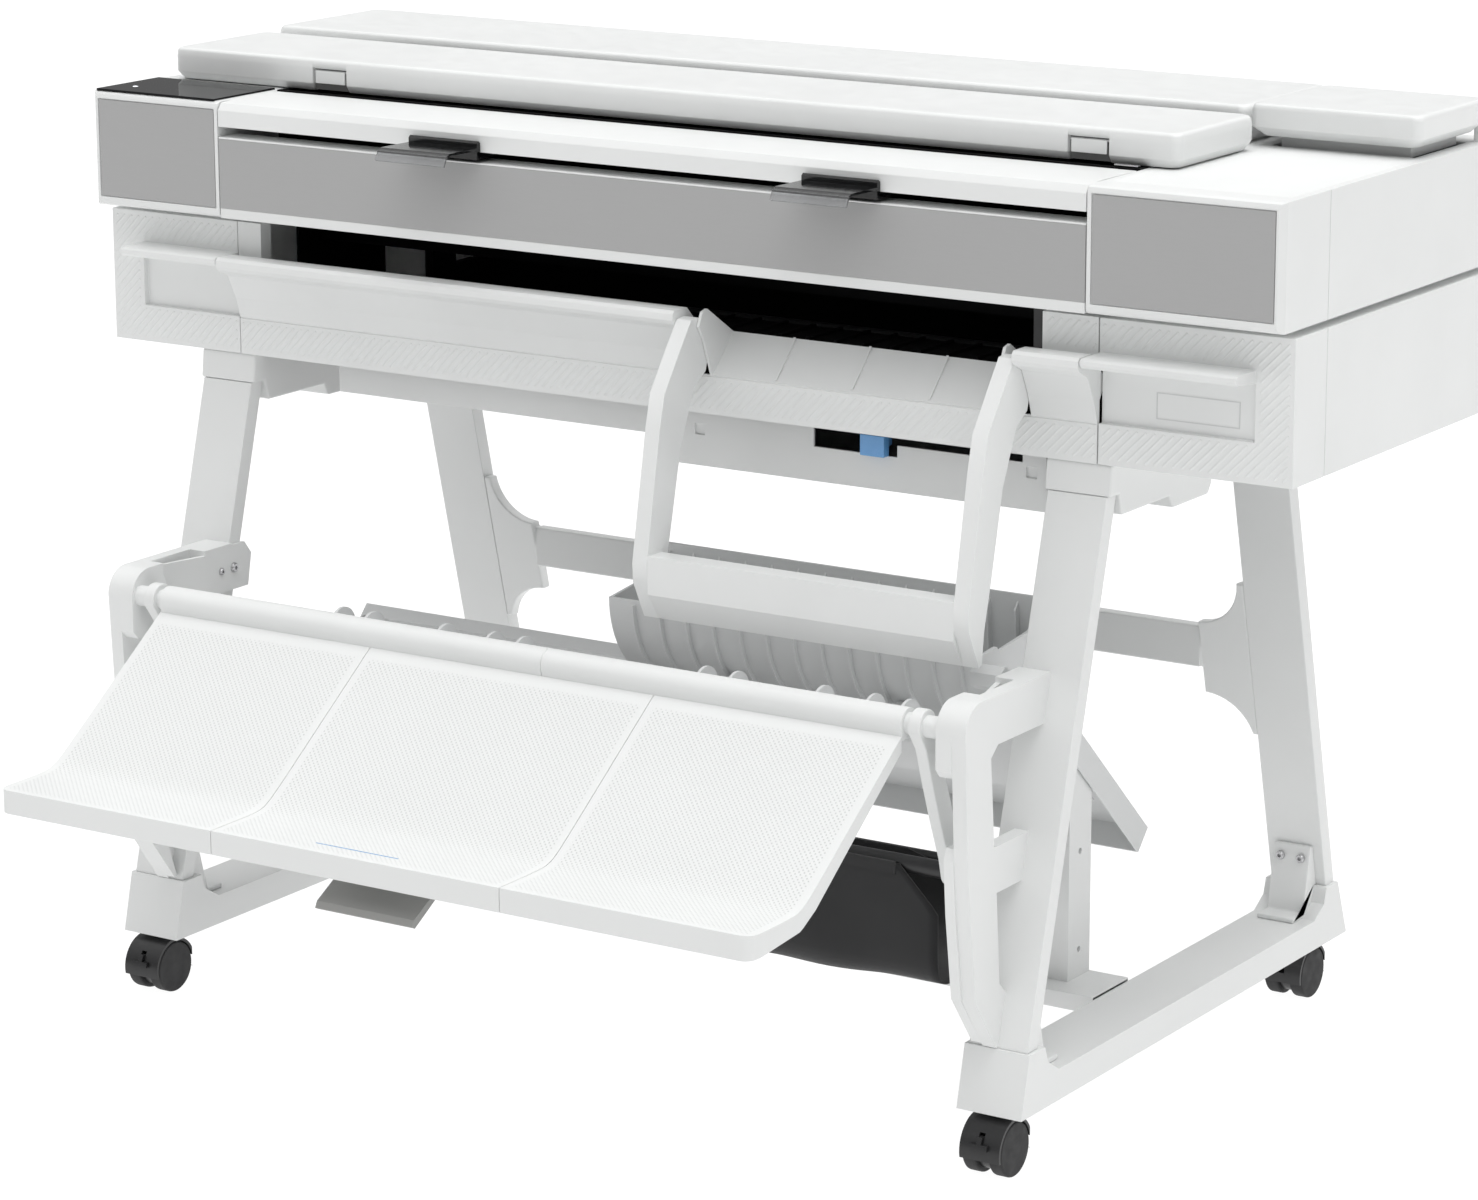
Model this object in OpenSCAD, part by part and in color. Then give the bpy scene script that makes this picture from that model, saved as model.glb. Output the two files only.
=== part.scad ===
// Large format plotter with a sheet-fed scanner on top, a rolling stand and an output stacker.
// Millimetres. X runs along the machine, -Y is its front, +Z is up and the floor is Z = 0.

/* [Body] */
// Width of the printer body
body_w = 1317; // [1300:1:1340]
// Depth of the printer body behind the fascia
body_d = 445; // [440:1:450]
// Height of the body's underside above the floor
body_z = 626; // [622:1:630]
// Height of the lower half of the body
low_h = 132; // [130:1:134]
// Shadow gap between the two halves
gap_h = 7; // [5:1:8]
// Height of the upper half of the body
up_h = 114; // [112:1:116]
// How far the lower half's front stands behind the fascia
low_set = 26.4; // [25:0.1:28]
// Wall of the plastic shells
wall = 3; // [2.5:0.1:3.5]
// Left seam of the middle section
seam_l = -499.5; // [-502:0.5:-497]
// Right seam of the middle section
seam_r = 467.5; // [465:0.5:470]

/* [Stand] */
// Middle of the stand along X
stand_x = -34.5; // [-36:0.5:-33]
// Distance from the stand's middle to the inner side of a foot
foot_in = 448.5; // [446:0.5:451]
// Width of a foot
foot_w = 67; // [64:1:70]
// Width of a leg
leg_w = 60; // [56:1:62]
// Thickness of a leg along Y
leg_t = 18; // [16:1:20]
// Underside of the feet above the floor
foot_z = 58; // [57:1:59]
// Radius of a caster wheel
wheel_r = 25.5; // [25:0.5:26]

/* [Stacker] */
// Half width of the output tray
tray_hw = 417; // [410:1:419]
// Rod axis along Y
rod_y = -153; // [-155:1:-151]
// Rod axis above the floor
rod_z = 418; // [416:1:420]
// Radius of the tray's rod
rod_r = 10; // [9:0.5:10]

/* [Media frame] */
// Left side of the media frame
bail_x0 = 41; // [39:1:43]
// Right side of the media frame
bail_x1 = 399; // [397:1:401]
// Thickness of a media frame arm
arm_t = 16; // [14:1:16]

/* [Hidden] */
$fn = 48;

// Everything is drawn with the fascia at Y = 0; this moves the middle of the machine there.
fascia_y = -62;
hw = body_w / 2;
low_top = body_z + low_h;
up_z = low_top + gap_h;
deck_z = up_z + up_h;
ledge_z = body_z + 101;
groove_z = body_z + 35;
white = "#eef0ef";
shade = "#d9dbdb";
grey = "#aeaeae";
black = "#1b1c1d";
steel = "#b9bcc0";

// Gap that shows between two mouldings of the front.
joint_gap = 1.2;

// Clearance of a running fit, on the radius.
fit = 0.05;

module placed() { translate([0, fascia_y, 0]) children(); }

// A box from its three ranges.
module block(x, y, z)
    translate([x[0], y[0], z[0]]) cube([x[1] - x[0], y[1] - y[0], z[1] - z[0]]);

// A profile drawn as [Y, Z], run along X.
module run_x(x0, x1) translate([x0, 0, 0]) rotate([90, 0, 90]) linear_extrude(x1 - x0) children();

// A round bar along X.
module bar_x(x0, x1, y, z, r) translate([x0, y, z]) rotate([0, 90, 0]) cylinder(h = x1 - x0, r = r);

// A round bar along Y.
module bar_y(y0, y1, x, z, r) translate([x, y0, z]) rotate([-90, 0, 0]) cylinder(h = y1 - y0, r = r);

// Left and right copies about the middle of the stand.
module both_sides() {
    translate([stand_x, 0, 0]) {
        children();
        mirror([1, 0, 0]) children();
    }
}

// ---------------------------------------------------------------- stand

leg_lean = 0.27;
rear_lean = 0.245;
leg_z0 = 116;
foot_mid = foot_in + foot_w / 2;
leg_x0 = foot_mid - leg_w / 2;
leg_x1 = foot_mid + leg_w / 2;
beam_z1 = 88;
tube_t = 2;
slack = 0.01;

function leg_y(z) = 26 - (598 - z) * leg_lean;
function rear_leg_y(z) = 490 - (z - leg_z0) * rear_lean;

module feet() color(white) placed() both_sides() difference() {
    run_x(foot_in, foot_in + foot_w)
        polygon([[-120, foot_z], [leg_y(leg_z0) - 2, leg_z0], [-78, leg_z0], [-72, 100], [-52, beam_z1],
            [460, beam_z1], [480, 100], [485, leg_z0], [510, leg_z0], [532, foot_z]]);
    // Hollow of the beam, open below, between the two caster sockets.
    block([foot_in + 3, foot_in + foot_w - 3], [caster_y[0] + 18, caster_y[1] - 18],
        [foot_z - 1, beam_z1 - 3]);
    for (y = caster_y) translate([foot_mid, y, foot_z - 1]) cylinder(h = 22, r = 5 + fit);
}

// Leg tube between two points of its front face, open at both ends.
module leg_tube(low, high) difference() {
    run_x(leg_x0, leg_x1) polygon([low, high, high + [leg_t, 0], low + [leg_t, 0]]);
    run_x(leg_x0 + tube_t, leg_x1 - tube_t) translate([tube_t, 0]) polygon([low - slack * (high - low),
        high + slack * (high - low), high + slack * (high - low) + [leg_t - 2 * tube_t, 0],
        low - slack * (high - low) + [leg_t - 2 * tube_t, 0]]);
}

module front_legs() color(white) placed() both_sides()
    leg_tube([leg_y(leg_z0), leg_z0], [leg_y(597), 597]);

module rear_legs() color(white) placed() both_sides()
    leg_tube([rear_leg_y(leg_z0), leg_z0], [rear_leg_y(body_z), body_z]);

module stand_heads() color(white) placed() both_sides() run_x(foot_in, foot_in + foot_w)
    polygon([[29, body_z], [leg_y(597), 597], [leg_y(597) + leg_t, 597], [49, 577], [140, 577],
        [146, 565], [214, 565], [221, 575], [221, body_z]]);

module low_beam() color(white) placed() translate([stand_x, 0, 0]) difference() {
    block([-foot_in, foot_in], [130, 201], [74, 91]);
    block([-foot_in - 1, foot_in + 1], [130 + tube_t, 201 - tube_t], [74 + tube_t, 91 - tube_t]);
}

module rear_beam() color(white) placed() translate([stand_x, 0, 0]) {
    block([-398, 398], [rear_leg_y(357), rear_leg_y(357) + 14], [336, 378]);
    flare();
    mirror([1, 0, 0]) flare();
}

// Flared bracket that joins the rear beam to a leg.
module flare() {
    difference() {
        run_x(398, leg_x0) polygon([[rear_leg_y(430), 430], [rear_leg_y(430) + 14, 430],
            [rear_leg_y(270) + 14, 270], [rear_leg_y(270), 270]]);
        translate([398, 400, 430]) rotate([90, 0, 0]) translate([0, 0, -80]) cylinder(h = 160, r = 46);
        translate([398, 400, 258]) rotate([90, 0, 0]) translate([0, 0, -80]) cylinder(h = 160, r = 50);
    }
}

// Screws through the leg brackets, and the faces their heads lie on.
bolt_z = 146;
bolt_r = 4.5;
bolt_h = 5.3;
rear_pad_y = 472.4;
front_pad_y = -66.6;

module leg_brackets() color(white) placed() both_sides() {
    x = [foot_mid - 20, foot_mid + 20];
    run_x(x[0], x[1]) polygon([[440, beam_z1], [440, beam_z1 + 5], [462, beam_z1 + 5],
        [rear_leg_y(158) - 5, 158], [rear_leg_y(158), 158], [rear_leg_y(leg_z0), leg_z0],
        [485, leg_z0], [480, 100], [460, beam_z1]]);
    run_x(x[0], x[1]) polygon([[-30, beam_z1], [-30, beam_z1 + 5], [-52, beam_z1 + 5],
        [leg_y(158) + leg_t + 5, 158], [leg_y(158) + leg_t, 158], [leg_y(leg_z0) + leg_t, leg_z0],
        [-78, leg_z0], [-72, 100], [-52, beam_z1]]);
}

module stand_bolts() color(steel) placed() both_sides() {
    for (x = [foot_mid - 11, foot_mid + 11]) {
        bar_y(rear_pad_y - bolt_h, rear_pad_y - 1, x, bolt_z, bolt_r);
        bar_y(front_pad_y + 1.4, front_pad_y + bolt_h, x, bolt_z, bolt_r);
    }
    for (y = [-34, -14]) bar_x(bracket_x0 - 6, bracket_x0 - 3, y, 418, y > -20 ? 5 : 3.5);
}

// ---------------------------------------------------------------- casters

caster_y = [-96, 497];
trail = 11;
wheel_x0 = 6.5;
wheel_x1 = 20.5;
axle_r = 3;

// Places a caster: side is -1 or 1, end is 0 for the front pair and 1 for the rear pair.
module at_caster(side, end) placed() translate([stand_x + side * foot_mid, caster_y[end], 0])
    translate([0, -trail, 0]) children();

module caster_fork() color(black) {
    difference() {
        union() {
            bar_x(-5.5, 5.5, 0, wheel_r, 21);
            block([-5.5, 5.5], [0, trail + 6], [wheel_r, foot_z]);
            intersection() {
                difference() {
                    bar_x(-wheel_x1, wheel_x1, 0, wheel_r, 29.4);
                    bar_x(-wheel_x1 - 1, wheel_x1 + 1, 0, wheel_r, 26.6);
                }
                block([-30, 30], [-40, 26], [wheel_r - 6, 60]);
            }
            block([-5.5, 5.5], [-28, -18], [wheel_r - 6, wheel_r + 6]);
        }
        bar_x(-30, 30, 0, wheel_r, axle_r + fit);
        block([-3, 3], [-40, -20], [wheel_r + 4, wheel_r + 19]);
        block([-40, 40], [-60, 60], [foot_z - 2.5, 80]);
    }
    translate([0, trail, foot_z - 2.5]) cylinder(h = 2.2, r = 15);
    translate([0, trail, foot_z - 0.3]) cylinder(h = 18, r = 5);
}

module caster_wheels() color(black) {
    for (x = [[-wheel_x1, -wheel_x0], [wheel_x0, wheel_x1]]) bar_x(x[0], x[1], 0, wheel_r, wheel_r);
    bar_x(-wheel_x0, wheel_x0, 0, wheel_r, axle_r);
}

// Brake tab: a T whose stem moves along its slot in the hood.
module caster_brake() color("#3a3b3d") intersection() {
    bar_x(-9, 9, 0, wheel_r, 32.5);
    difference() {
        union() {
            block([-2.4, 2.4], [-40, -20], [wheel_r + 9, wheel_r + 16]);
            difference() {
                block([-9, 9], [-40, -20], [wheel_r + 5, wheel_r + 10]);
                bar_x(-10, 10, 0, wheel_r, 30);
            }
        }
        bar_x(-10, 10, 0, wheel_r, 27.2);
    }
}

module caster_fork_fl() at_caster(-1, 0) caster_fork();
module caster_fork_fr() at_caster(1, 0) caster_fork();
module caster_fork_rl() at_caster(-1, 1) caster_fork();
module caster_fork_rr() at_caster(1, 1) caster_fork();
module caster_wheels_fl() at_caster(-1, 0) caster_wheels();
module caster_wheels_fr() at_caster(1, 0) caster_wheels();
module caster_wheels_rl() at_caster(-1, 1) caster_wheels();
module caster_wheels_rr() at_caster(1, 1) caster_wheels();
module caster_brake_fl() at_caster(-1, 0) caster_brake();
module caster_brake_fr() at_caster(1, 0) caster_brake();

// ---------------------------------------------------------------- stacker

bracket_x0 = foot_in + 3;
bracket_x1 = foot_in + 33;

plate_t = 14;
plate_x = bracket_x1 - plate_t;
arm_z = [398, 443];
hook_r = 26;
hook_y = -140;

module tray_brackets() color(white) placed() both_sides() {
    difference() {
        union() {
            run_x(plate_x, bracket_x1) bracket_plate();
            run_x(bracket_x0, plate_x) hook();
        }
        bar_x(bracket_x0 - 1, bracket_x0 + 18, rod_y, rod_z, rod_r);
    }
    // Guard on the inner side of the column.
    run_x(plate_x - 10, plate_x) polygon([[-157, 312], [-161, 300], [-157, 250], [-146, 170], [-109, 120],
        [-105, 120], [-122, 170], [-134, 250], [-140, 312]]);
    // Block in front of the leg, the plate that the bolts go through and the web between it and the arm.
    run_x(bracket_x0 - 3, plate_x) polygon([[-58, arm_z[0]], [-58, arm_z[1]], [leg_y(arm_z[1]), arm_z[1]],
        [leg_y(arm_z[0]), arm_z[0]]]);
    run_x(bracket_x0 - 3, leg_x0)
        polygon([[-58, arm_z[0]], [-58, 441], [4, 441], [14, 428], [8, 396], [-40, 396]]);
    translate([0, 0, arm_z[0] + 4]) linear_extrude(36)
        polygon([[bracket_x0 - 3, -58], [bracket_x0 + 2, -58], [plate_x, -117], [plate_x, -126]]);
}

module hook() {
    polygon([[-118, arm_z[1]], [hook_y, arm_z[1]], [hook_y - hook_r, arm_z[1] - hook_r],
        [hook_y - hook_r, 384], [hook_y - hook_r + 7, 376], [-122, 373]]);
    translate([hook_y, arm_z[1] - hook_r]) circle(r = hook_r);
}

module bracket_plate() difference() {
    union() {
        polygon([[leg_y(arm_z[1]), arm_z[1]], [hook_y, arm_z[1]], [hook_y - hook_r, arm_z[1] - hook_r],
            [-160, 300], [-155, 250], [-143.5, 168], [leg_y(leg_z0 + 1) - 3, leg_z0 + 1],
            [leg_y(leg_z0 + 1), leg_z0 + 1]]);
        translate([hook_y, arm_z[1] - hook_r]) circle(r = hook_r);
    }
    polygon([[leg_y(arm_z[0]) + 20, arm_z[0]], [-109, arm_z[0]], [-121, 388], [-114, 305],
        [leg_y(305) + 20, 305]]);
    polygon([[leg_y(262) + 20, 262], [-109, 262], [-102, 176], [-92, 166], [leg_y(166) + 1, 166]]);
    // Everything behind the leg's front face.
    polygon([[leg_y(600), 600], [leg_y(110), 110], [100, 110], [100, 600]]);
}

module tray_rod() color(white) placed() translate([stand_x, 0, 0])
    bar_x(-bracket_x0 - 18, bracket_x0 + 18, rod_y, rod_z, rod_r);

// Sheet of the tray: its top line, and the same line one wall lower.
tray_top = [[-165.3, 408.8], [-311, 304], [-327, 294.5], [-343, 291], [-398, 290]];
module tray_profile() {
    polygon(concat(tray_top, [[-407, 286], [-407, 268], [-403, 268], [-403, 286], [-343, 287.6],
        [-326, 291], [-309, 300.4], [-165.3, 404.2]]));
}

// Skirt on the end of a tray panel.
module tray_skirt() polygon([[-170, 405], [-166, 396], [-306, 289], [-330, 276], [-403, 268], [-403, 286],
    [-343, 287], [-326, 290.6], [-309, 300]]);

panel_cut = [-tray_hw, -163.5, 156.5, tray_hw];

module tray_panels() color(white) placed() translate([stand_x, 0, 0]) {
    for (i = [0:2]) {
        x0 = panel_cut[i] + (i > 0 ? 0.25 : 0);
        x1 = panel_cut[i + 1] - (i < 2 ? 0.25 : 0);
        run_x(x0, x1) tray_profile();
        for (x = [x0, x1 - 3]) run_x(x, x + 3) tray_skirt();
    }
    for (x = [-66, 58]) difference() {
        block([x, x + 8], [-346, -328], [262, 289]);
        bar_x(x - 1, x + 9, flap_y, flap_z, 3.2 + fit);
    }
}

// Cover over the rod, which the three panels hang from.
strip_seam = 32;
module tray_hinge_strip() color(white) placed() translate([stand_x, 0, 0]) {
    difference() {
        union() {
            bar_x(-tray_hw, tray_hw, rod_y, rod_z, 14);
            run_x(-tray_hw, tray_hw) polygon([[rod_y, rod_z + 14], [-165, 412], [-165.2, 404.6],
                [rod_y - 8, 404], [rod_y, 410]]);
        }
        bar_x(-tray_hw - 1, tray_hw + 1, rod_y, rod_z, rod_r + fit);
        block([-tray_hw + 12, tray_hw - 12], [rod_y, rod_y + 20], [rod_z - 20, rod_z - 4]);
        difference() {
            bar_x(strip_seam, strip_seam + 0.8, rod_y, rod_z, 20);
            bar_x(strip_seam - 1, strip_seam + 2, rod_y, rod_z, 13.2);
        }
    }
}

flap_y = -337;
flap_z = 270;

module tray_flap() color("#9a9a97") placed() translate([stand_x, 0, 0]) {
    bar_x(-65, 65, flap_y, flap_z, 3.2);
    run_x(-54, 54) polygon([[-338, 271], [-394, 240], [-397, 234], [-393, 232], [-336, 266]]);
}

basket_x = [-40, 376];
basket_y = 93;
basket_z = 444;
basket_r = 94;

module deflector_basket() color(shade) placed() {
    run_x(basket_x[0], basket_x[1]) {
        intersection() {
            difference() {
                translate([basket_y, basket_z]) circle(r = basket_r, $fn = 96);
                translate([basket_y, basket_z]) circle(r = basket_r - 3, $fn = 96);
            }
            translate([-10, 340]) square([basket_y + 10, basket_z - 340]);
        }
        polygon([[basket_y, 350], [115, 357], [102, 477], [99, 477], [111.6, 359.6], [basket_y, 353]]);
    }
    for (x = basket_x) translate([x == basket_x[0] ? 0 : -3, 0, 0]) run_x(x, x + 3)
        polygon([[0, basket_z], [14, 394], [46, 362], [88, 351], [112, 358], [101, 470], [70, 452]]);
    for (i = [1:13]) {
        x = basket_x[0] + i * (basket_x[1] - basket_x[0]) / 14;
        run_x(x - 1, x + 1) intersection() {
            difference() {
                translate([basket_y, basket_z]) circle(r = basket_r + 5, $fn = 96);
                translate([basket_y, basket_z]) circle(r = basket_r - 1, $fn = 96);
            }
            translate([-12, 344]) square([basket_y + 8, basket_z - 348]);
        }
        run_x(x - 1, x + 1) polygon([[109.6, 375], [100, 470], [94, 462], [100, 380]]);
    }
    // Arm and hub that carry the basket on the right tray bracket.
    run_x(basket_x[1], basket_x[1] + 4) polygon([[-34, 434], [-34, 448], [4, 452], [20, 430], [10, 400]]);
    bar_x(basket_x[1] + 4, stand_x + bracket_x0 - 6.4, hub_y, hub_z, 12, $fn = 6);
    bar_x(basket_x[1] + 4, stand_x + bracket_x0 - 3.1, hub_y, hub_z, 5);
    // Bar with the guide discs behind the rod.
    translate([stand_x, 0, 0]) {
        block([-bracket_x0, bracket_x0], [-124, -104], [401, 411]);
        for (x = disc_x) bar_x(x - 1.5, x + 1.5, -114, 408, 19);
        for (x = [120, 300]) {
            block([x, x + 12], [-120, 26], [374, 381]);
            block([x, x + 12], [-120, -112], [374, 402]);
        }
    }
}

hub_y = -34;
hub_z = 434;
disc_x = [-236, -200, -114, -58, -24, 178, 212, 304, 357, 393];

bar_y0 = -98;
bar_z0 = 270;
rear_bar_y = 82;
rear_bar_z = 216;

module bin_frame() color(black) placed() translate([stand_x, 0, 0]) {
    bar_x(-436, 436, bar_y0, bar_z0, 8);
    for (side = [-1, 1]) run_x(side * 430 - 6, side * 430 + 6) difference() {
        union() {
            translate([rod_y, rod_z]) circle(r = 15);
            polygon([[rod_y - 9, rod_z - 10], [rod_y + 13, rod_z - 6], [bar_y0 + 12, bar_z0],
                [bar_y0 - 12, bar_z0 - 3]]);
            translate([bar_y0, bar_z0]) circle(r = 12);
        }
        translate([rod_y, rod_z]) circle(r = rod_r);
        translate([bar_y0, bar_z0]) circle(r = 8);
    }
    // Rear bar of the bin and its two arms to the ramp posts.
    bar_x(-391, 391, rear_bar_y, rear_bar_z, 6);
    for (side = [-1, 1]) run_x(side * 388 - 3, side * 388 + 3)
        polygon([[rear_bar_y, rear_bar_z - 5], [157, rear_bar_z - 5], [157, rear_bar_z + 5],
            [rear_bar_y, rear_bar_z + 5]]);
}

cloth_hw = 421;
module bin_cloth() color("#232323") placed() translate([stand_x, 0, 0]) difference() {
    run_x(-cloth_hw, cloth_hw) polygon([[-108.5, 274], [-108.5, 172], [-100, 160], [20, 154], [56, 163],
        [74, 186], [74, 226], [72, 226], [72, 187], [55, 165], [20, 156], [-99, 162],
        [-106.5, 173], [-106.5, 274]]);
    for (side = [-1, 1]) {
        translate([side * cloth_hw, -108, 278]) rotate([0, 45, 0]) cube([50, 30, 56], center = true);
        block(side > 0 ? [382, 450] : [-450, -382], [60, 80], [205, 230]);
    }
}

ramp_a = 43;
ramp_y = 150;
ramp_top = 352.5;
function ramp_under(y) = ramp_top - 2 / cos(ramp_a) - (y - ramp_y) * tan(ramp_a);

module stacker_ramp() color(shade) placed() translate([stand_x, ramp_y, ramp_top])
    rotate([-ramp_a, 0, 0]) {
        block([-410, 410], [0, 215], [-2, 0]);
        block([-410, 410], [213, 215], [-28, 0]);
        block([-410, 410], [0, 2], [-14, 0]);
        for (x = [-410, 408]) block([x, x + 2], [0, 215], [-28, 0]);
        block([-380, 380], [0, 150], [-12, -10]);
        for (x = [-300, 0, 300]) block([x, x + 2], [2, 150], [-12, 0]);
    }

module ramp_posts() color(white) placed() both_sides() difference() {
    run_x(385, 407) polygon([[157, 91], [199, 91], [199, ramp_under(199)], [157, ramp_under(157)]]);
    for (z = [118, 215]) bar_x(380, 410, 178, z, 3);
}

// ---------------------------------------------------------------- media frame

pin_y = 12;
pin_z = body_z + 83;

module bail_arm() difference() {
    polygon([[-4, 719], [-22, 695], [-49, 657], [-57, 625], [-80, 503], [-79, 485], [-61, 449], [-56, 451],
        [-52, 482], [-41, 524], [-22, 605], [1, 656], [20, 668], [26, 688], [22, 713], [8, 720]]);
    translate([pin_y, pin_z]) circle(r = 4 + fit);
}

module bail_frame() color(white) placed() {
    run_x(bail_x0, bail_x0 + arm_t) bail_arm();
    run_x(bail_x1 - arm_t, bail_x1) bail_arm();
    run_x(bail_x0 + arm_t, bail_x1 - arm_t) {
        polygon([[-79, 511], [-79, 475], [-61, 449], [-57, 451], [-75, 477], [-75, 507], [-56, 509],
            [-56, 511]]);
    }
}

// ---------------------------------------------------------------- lower body

module chassis() color(shade) placed() {
    block([seam_l, seam_r], [low_set + 14, body_d], [body_z, body_z + wall]);
    block([seam_l, seam_r], [body_d - wall, body_d], [body_z + wall, deck_z - 3]);
    for (x = [-480, 430]) cover_post(x, roll_axis);
    for (x = [seam_l, seam_r - 10]) difference() {
        block([x, x + 10], [334, body_d - wall], [body_z + wall, spindle_z + 8]);
        bar_x(x - 1, x + 11, spindle_y, spindle_z, 12 + fit);
        block([x - 1, x + 11], [spindle_y - 12 - fit, spindle_y + 12 + fit], [spindle_z, spindle_z + 20]);
        block([x - 1, x + 11], [374, body_d - wall - 3], [body_z + 40, spindle_z - 40]);
    }
}

// Post with a pin that a cover's lug turns on.
module cover_post(x, axis) {
    block([x, x + 6], [axis[0] - 5, body_d - wall], [deck_z - 14, deck_z - 1]);
    block([x, x + 6], [axis[0] - 5, axis[0] + 5], [deck_z - 1, axis[1] + 5]);
    bar_x(x + 6, x + 20, axis[0], axis[1], 3);
}

module cover_lug(x, axis, top) difference() {
    union() {
        bar_x(x, x + 10, axis[0], axis[1], 6.5);
        block([x, x + 10], [axis[0] - 6.5, axis[0] + 1.5], [axis[1], top]);
    }
    bar_x(x - 1, x + 12, axis[0], axis[1], 3 + fit);
}

// Finger ledge along the lower front, as a [Y, Z] outline.
ledge_lip = [[low_set, groove_z + 2], [20, body_z + 57], [8, body_z + 81], [-7, body_z + 88],
    [-10, body_z + 92], [-10, ledge_z - 3], [-7, ledge_z]];

module lower_end(x0, x1, lip0, lip1) {
    difference() {
        block([x0, x1], [low_set, body_d], [body_z, low_top]);
        block([x0 + wall, x1 - wall], [low_set + wall + 6, body_d - wall], [body_z + wall, low_top - wall]);
        block([lip0, lip1], [low_set - 1, low_set + 6], [groove_z + 2, ledge_z - 6]);
        side_seam(x0, [body_z - 1, low_top + 1]);
        side_seam(x1, [body_z - 1, low_top + 1]);
    }
    // Neck that carries the upper half.
    difference() {
        block([x0 + 14, x1 - 14], [low_set + 14, body_d - 14], [low_top, up_z]);
        block([x0 + 18, x1 - 18], [low_set + 18, body_d - 18], [low_top - 1, up_z + 1]);
    }
    run_x(lip0, lip1) polygon([[low_set + 6, ledge_z - 12], [low_set, ledge_z - 12], [-7, ledge_z - 9],
        [-10, ledge_z - 6], [-10, ledge_z - 2], [-7, ledge_z], [low_set, ledge_z], [low_set + 6, ledge_z]]);
}

module lower_end_left() color(white) placed() difference() {
    lower_end(-hw - 0.5, seam_l, -620, seam_l);
    block([-605, -557], [body_d - 5, body_d + 1], [651, 679]);
}

module lower_end_right() color(white) placed() lower_end(seam_r, hw + 0.5, seam_r, 621);

module ledge_section() polygon(concat([[low_set, body_z], [low_set, groove_z], [low_set + 1, groove_z + 1]],
    ledge_lip, [[14, ledge_z], [42, body_z + 73], [62, body_z + 73], [62, body_z + 69], [38, body_z + 69],
    [low_set + 4, body_z + 57], [low_set + 4, body_z + 3], [low_set + 14, body_z + 3],
    [low_set + 14, body_z]]));

module output_ledge() color(white) placed() difference() {
    union() {
        run_x(seam_l + joint_gap, seam_r - joint_gap) ledge_section();
        for (x = [[seam_l + joint_gap, -470], [410, seam_r - joint_gap]])
            block(x, [low_set, low_set + 16], [ledge_z - 12, low_top]);
    }
    block([bail_x0 - 0.5, bail_x1 + 0.5], [-20, 70], [groove_z + 2.2, ledge_z + 5]);
}

// Ramp that fills the ledge's cut-out between the arms, with its two gussets and their pins.
module output_ramp() color(white) placed() {
    gusset = [bail_x0 + arm_t + 0.5, bail_x1 - arm_t - 0.5];
    run_x(gusset[0], gusset[1]) polygon([[low_set, groove_z + 2.2], [62, body_z + 73], [62, body_z + 69],
        [low_set + 4, groove_z + 2.2]]);
    for (x = [128, 210, 292]) run_x(x, x + 2.4) polygon([[low_set + 1, groove_z + 4.2],
        [low_set + 0.2, groove_z + 4.8], [60, body_z + 74.4], [60, body_z + 70]]);
    for (x = [gusset[0], gusset[1] - 3]) run_x(x, x + 3)
        polygon([[low_set, groove_z + 2.2], [12, body_z + 74], [4, body_z + 86], [10, ledge_z - 2],
            [18, ledge_z], [62, body_z + 73]]);
    bar_x(bail_x0 + 2, gusset[0], pin_y, pin_z, 4);
    bar_x(gusset[1], bail_x1 - 2, pin_y, pin_z, 4);
}

module under_tray() color(white) placed() {
    difference() {
        block([-2, 397], [60, 250], [567, body_z]);
        block([1, 394], [63, 247], [570, body_z + 1]);
        for (cut = [[36, 151, 619], [150, 240, 600], [239, 372, 611]])
            block([cut[0], cut[1]], [59, 64], [cut[2], body_z + 1]);
        for (x = [18, 376]) block([x, x + 11], [59, 64], [597, 607]);
    }
    for (x = [18, 376]) block([x - 1, x + 12], [62.5, 66], [596, 608]);
    // Rail beside the tray.
    difference() {
        block([-403, -6], [60, 75], [592, body_z]);
        block([-401, -8], [63, 76], [594, body_z + 1]);
    }
}

module under_tray_latch() color("#6fa8dc") placed() {
    block([206, 232], [50, 59.6], [600, 620]);
    block([210, 228], [59.6, 72], [608, 620]);
}

module power_inlet() color(black) placed() {
    difference() {
        block([-604.7, -557.3], [body_d - 18, body_d + 1.5], [651.3, 678.7]);
        block([-594, -568], [body_d - 14, body_d + 2], [656, 674]);
    }
    for (x = [-588, -581, -574]) block([x - 1, x + 1], [body_d - 14, body_d - 3], [663, 668]);
}

module power_supply() color(steel) placed() {
    difference() {
        block([-640, -515], [160, 400], [body_z + wall, 722]);
        block([-638, -517], [162, 401], [body_z + wall + 2, 720]);
    }
    block([-638, -517], [170, 380], [body_z + wall + 2, body_z + wall + 5]);
    for (y = [190, 250, 310]) block([-620, -560], [y, y + 40], [body_z + wall + 5, body_z + wall + 50]);
}

// ---------------------------------------------------------------- upper body

inset_t = 2;
seam_y = 87;
seam_cut = 1.6;
corner_cut = 8;

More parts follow.
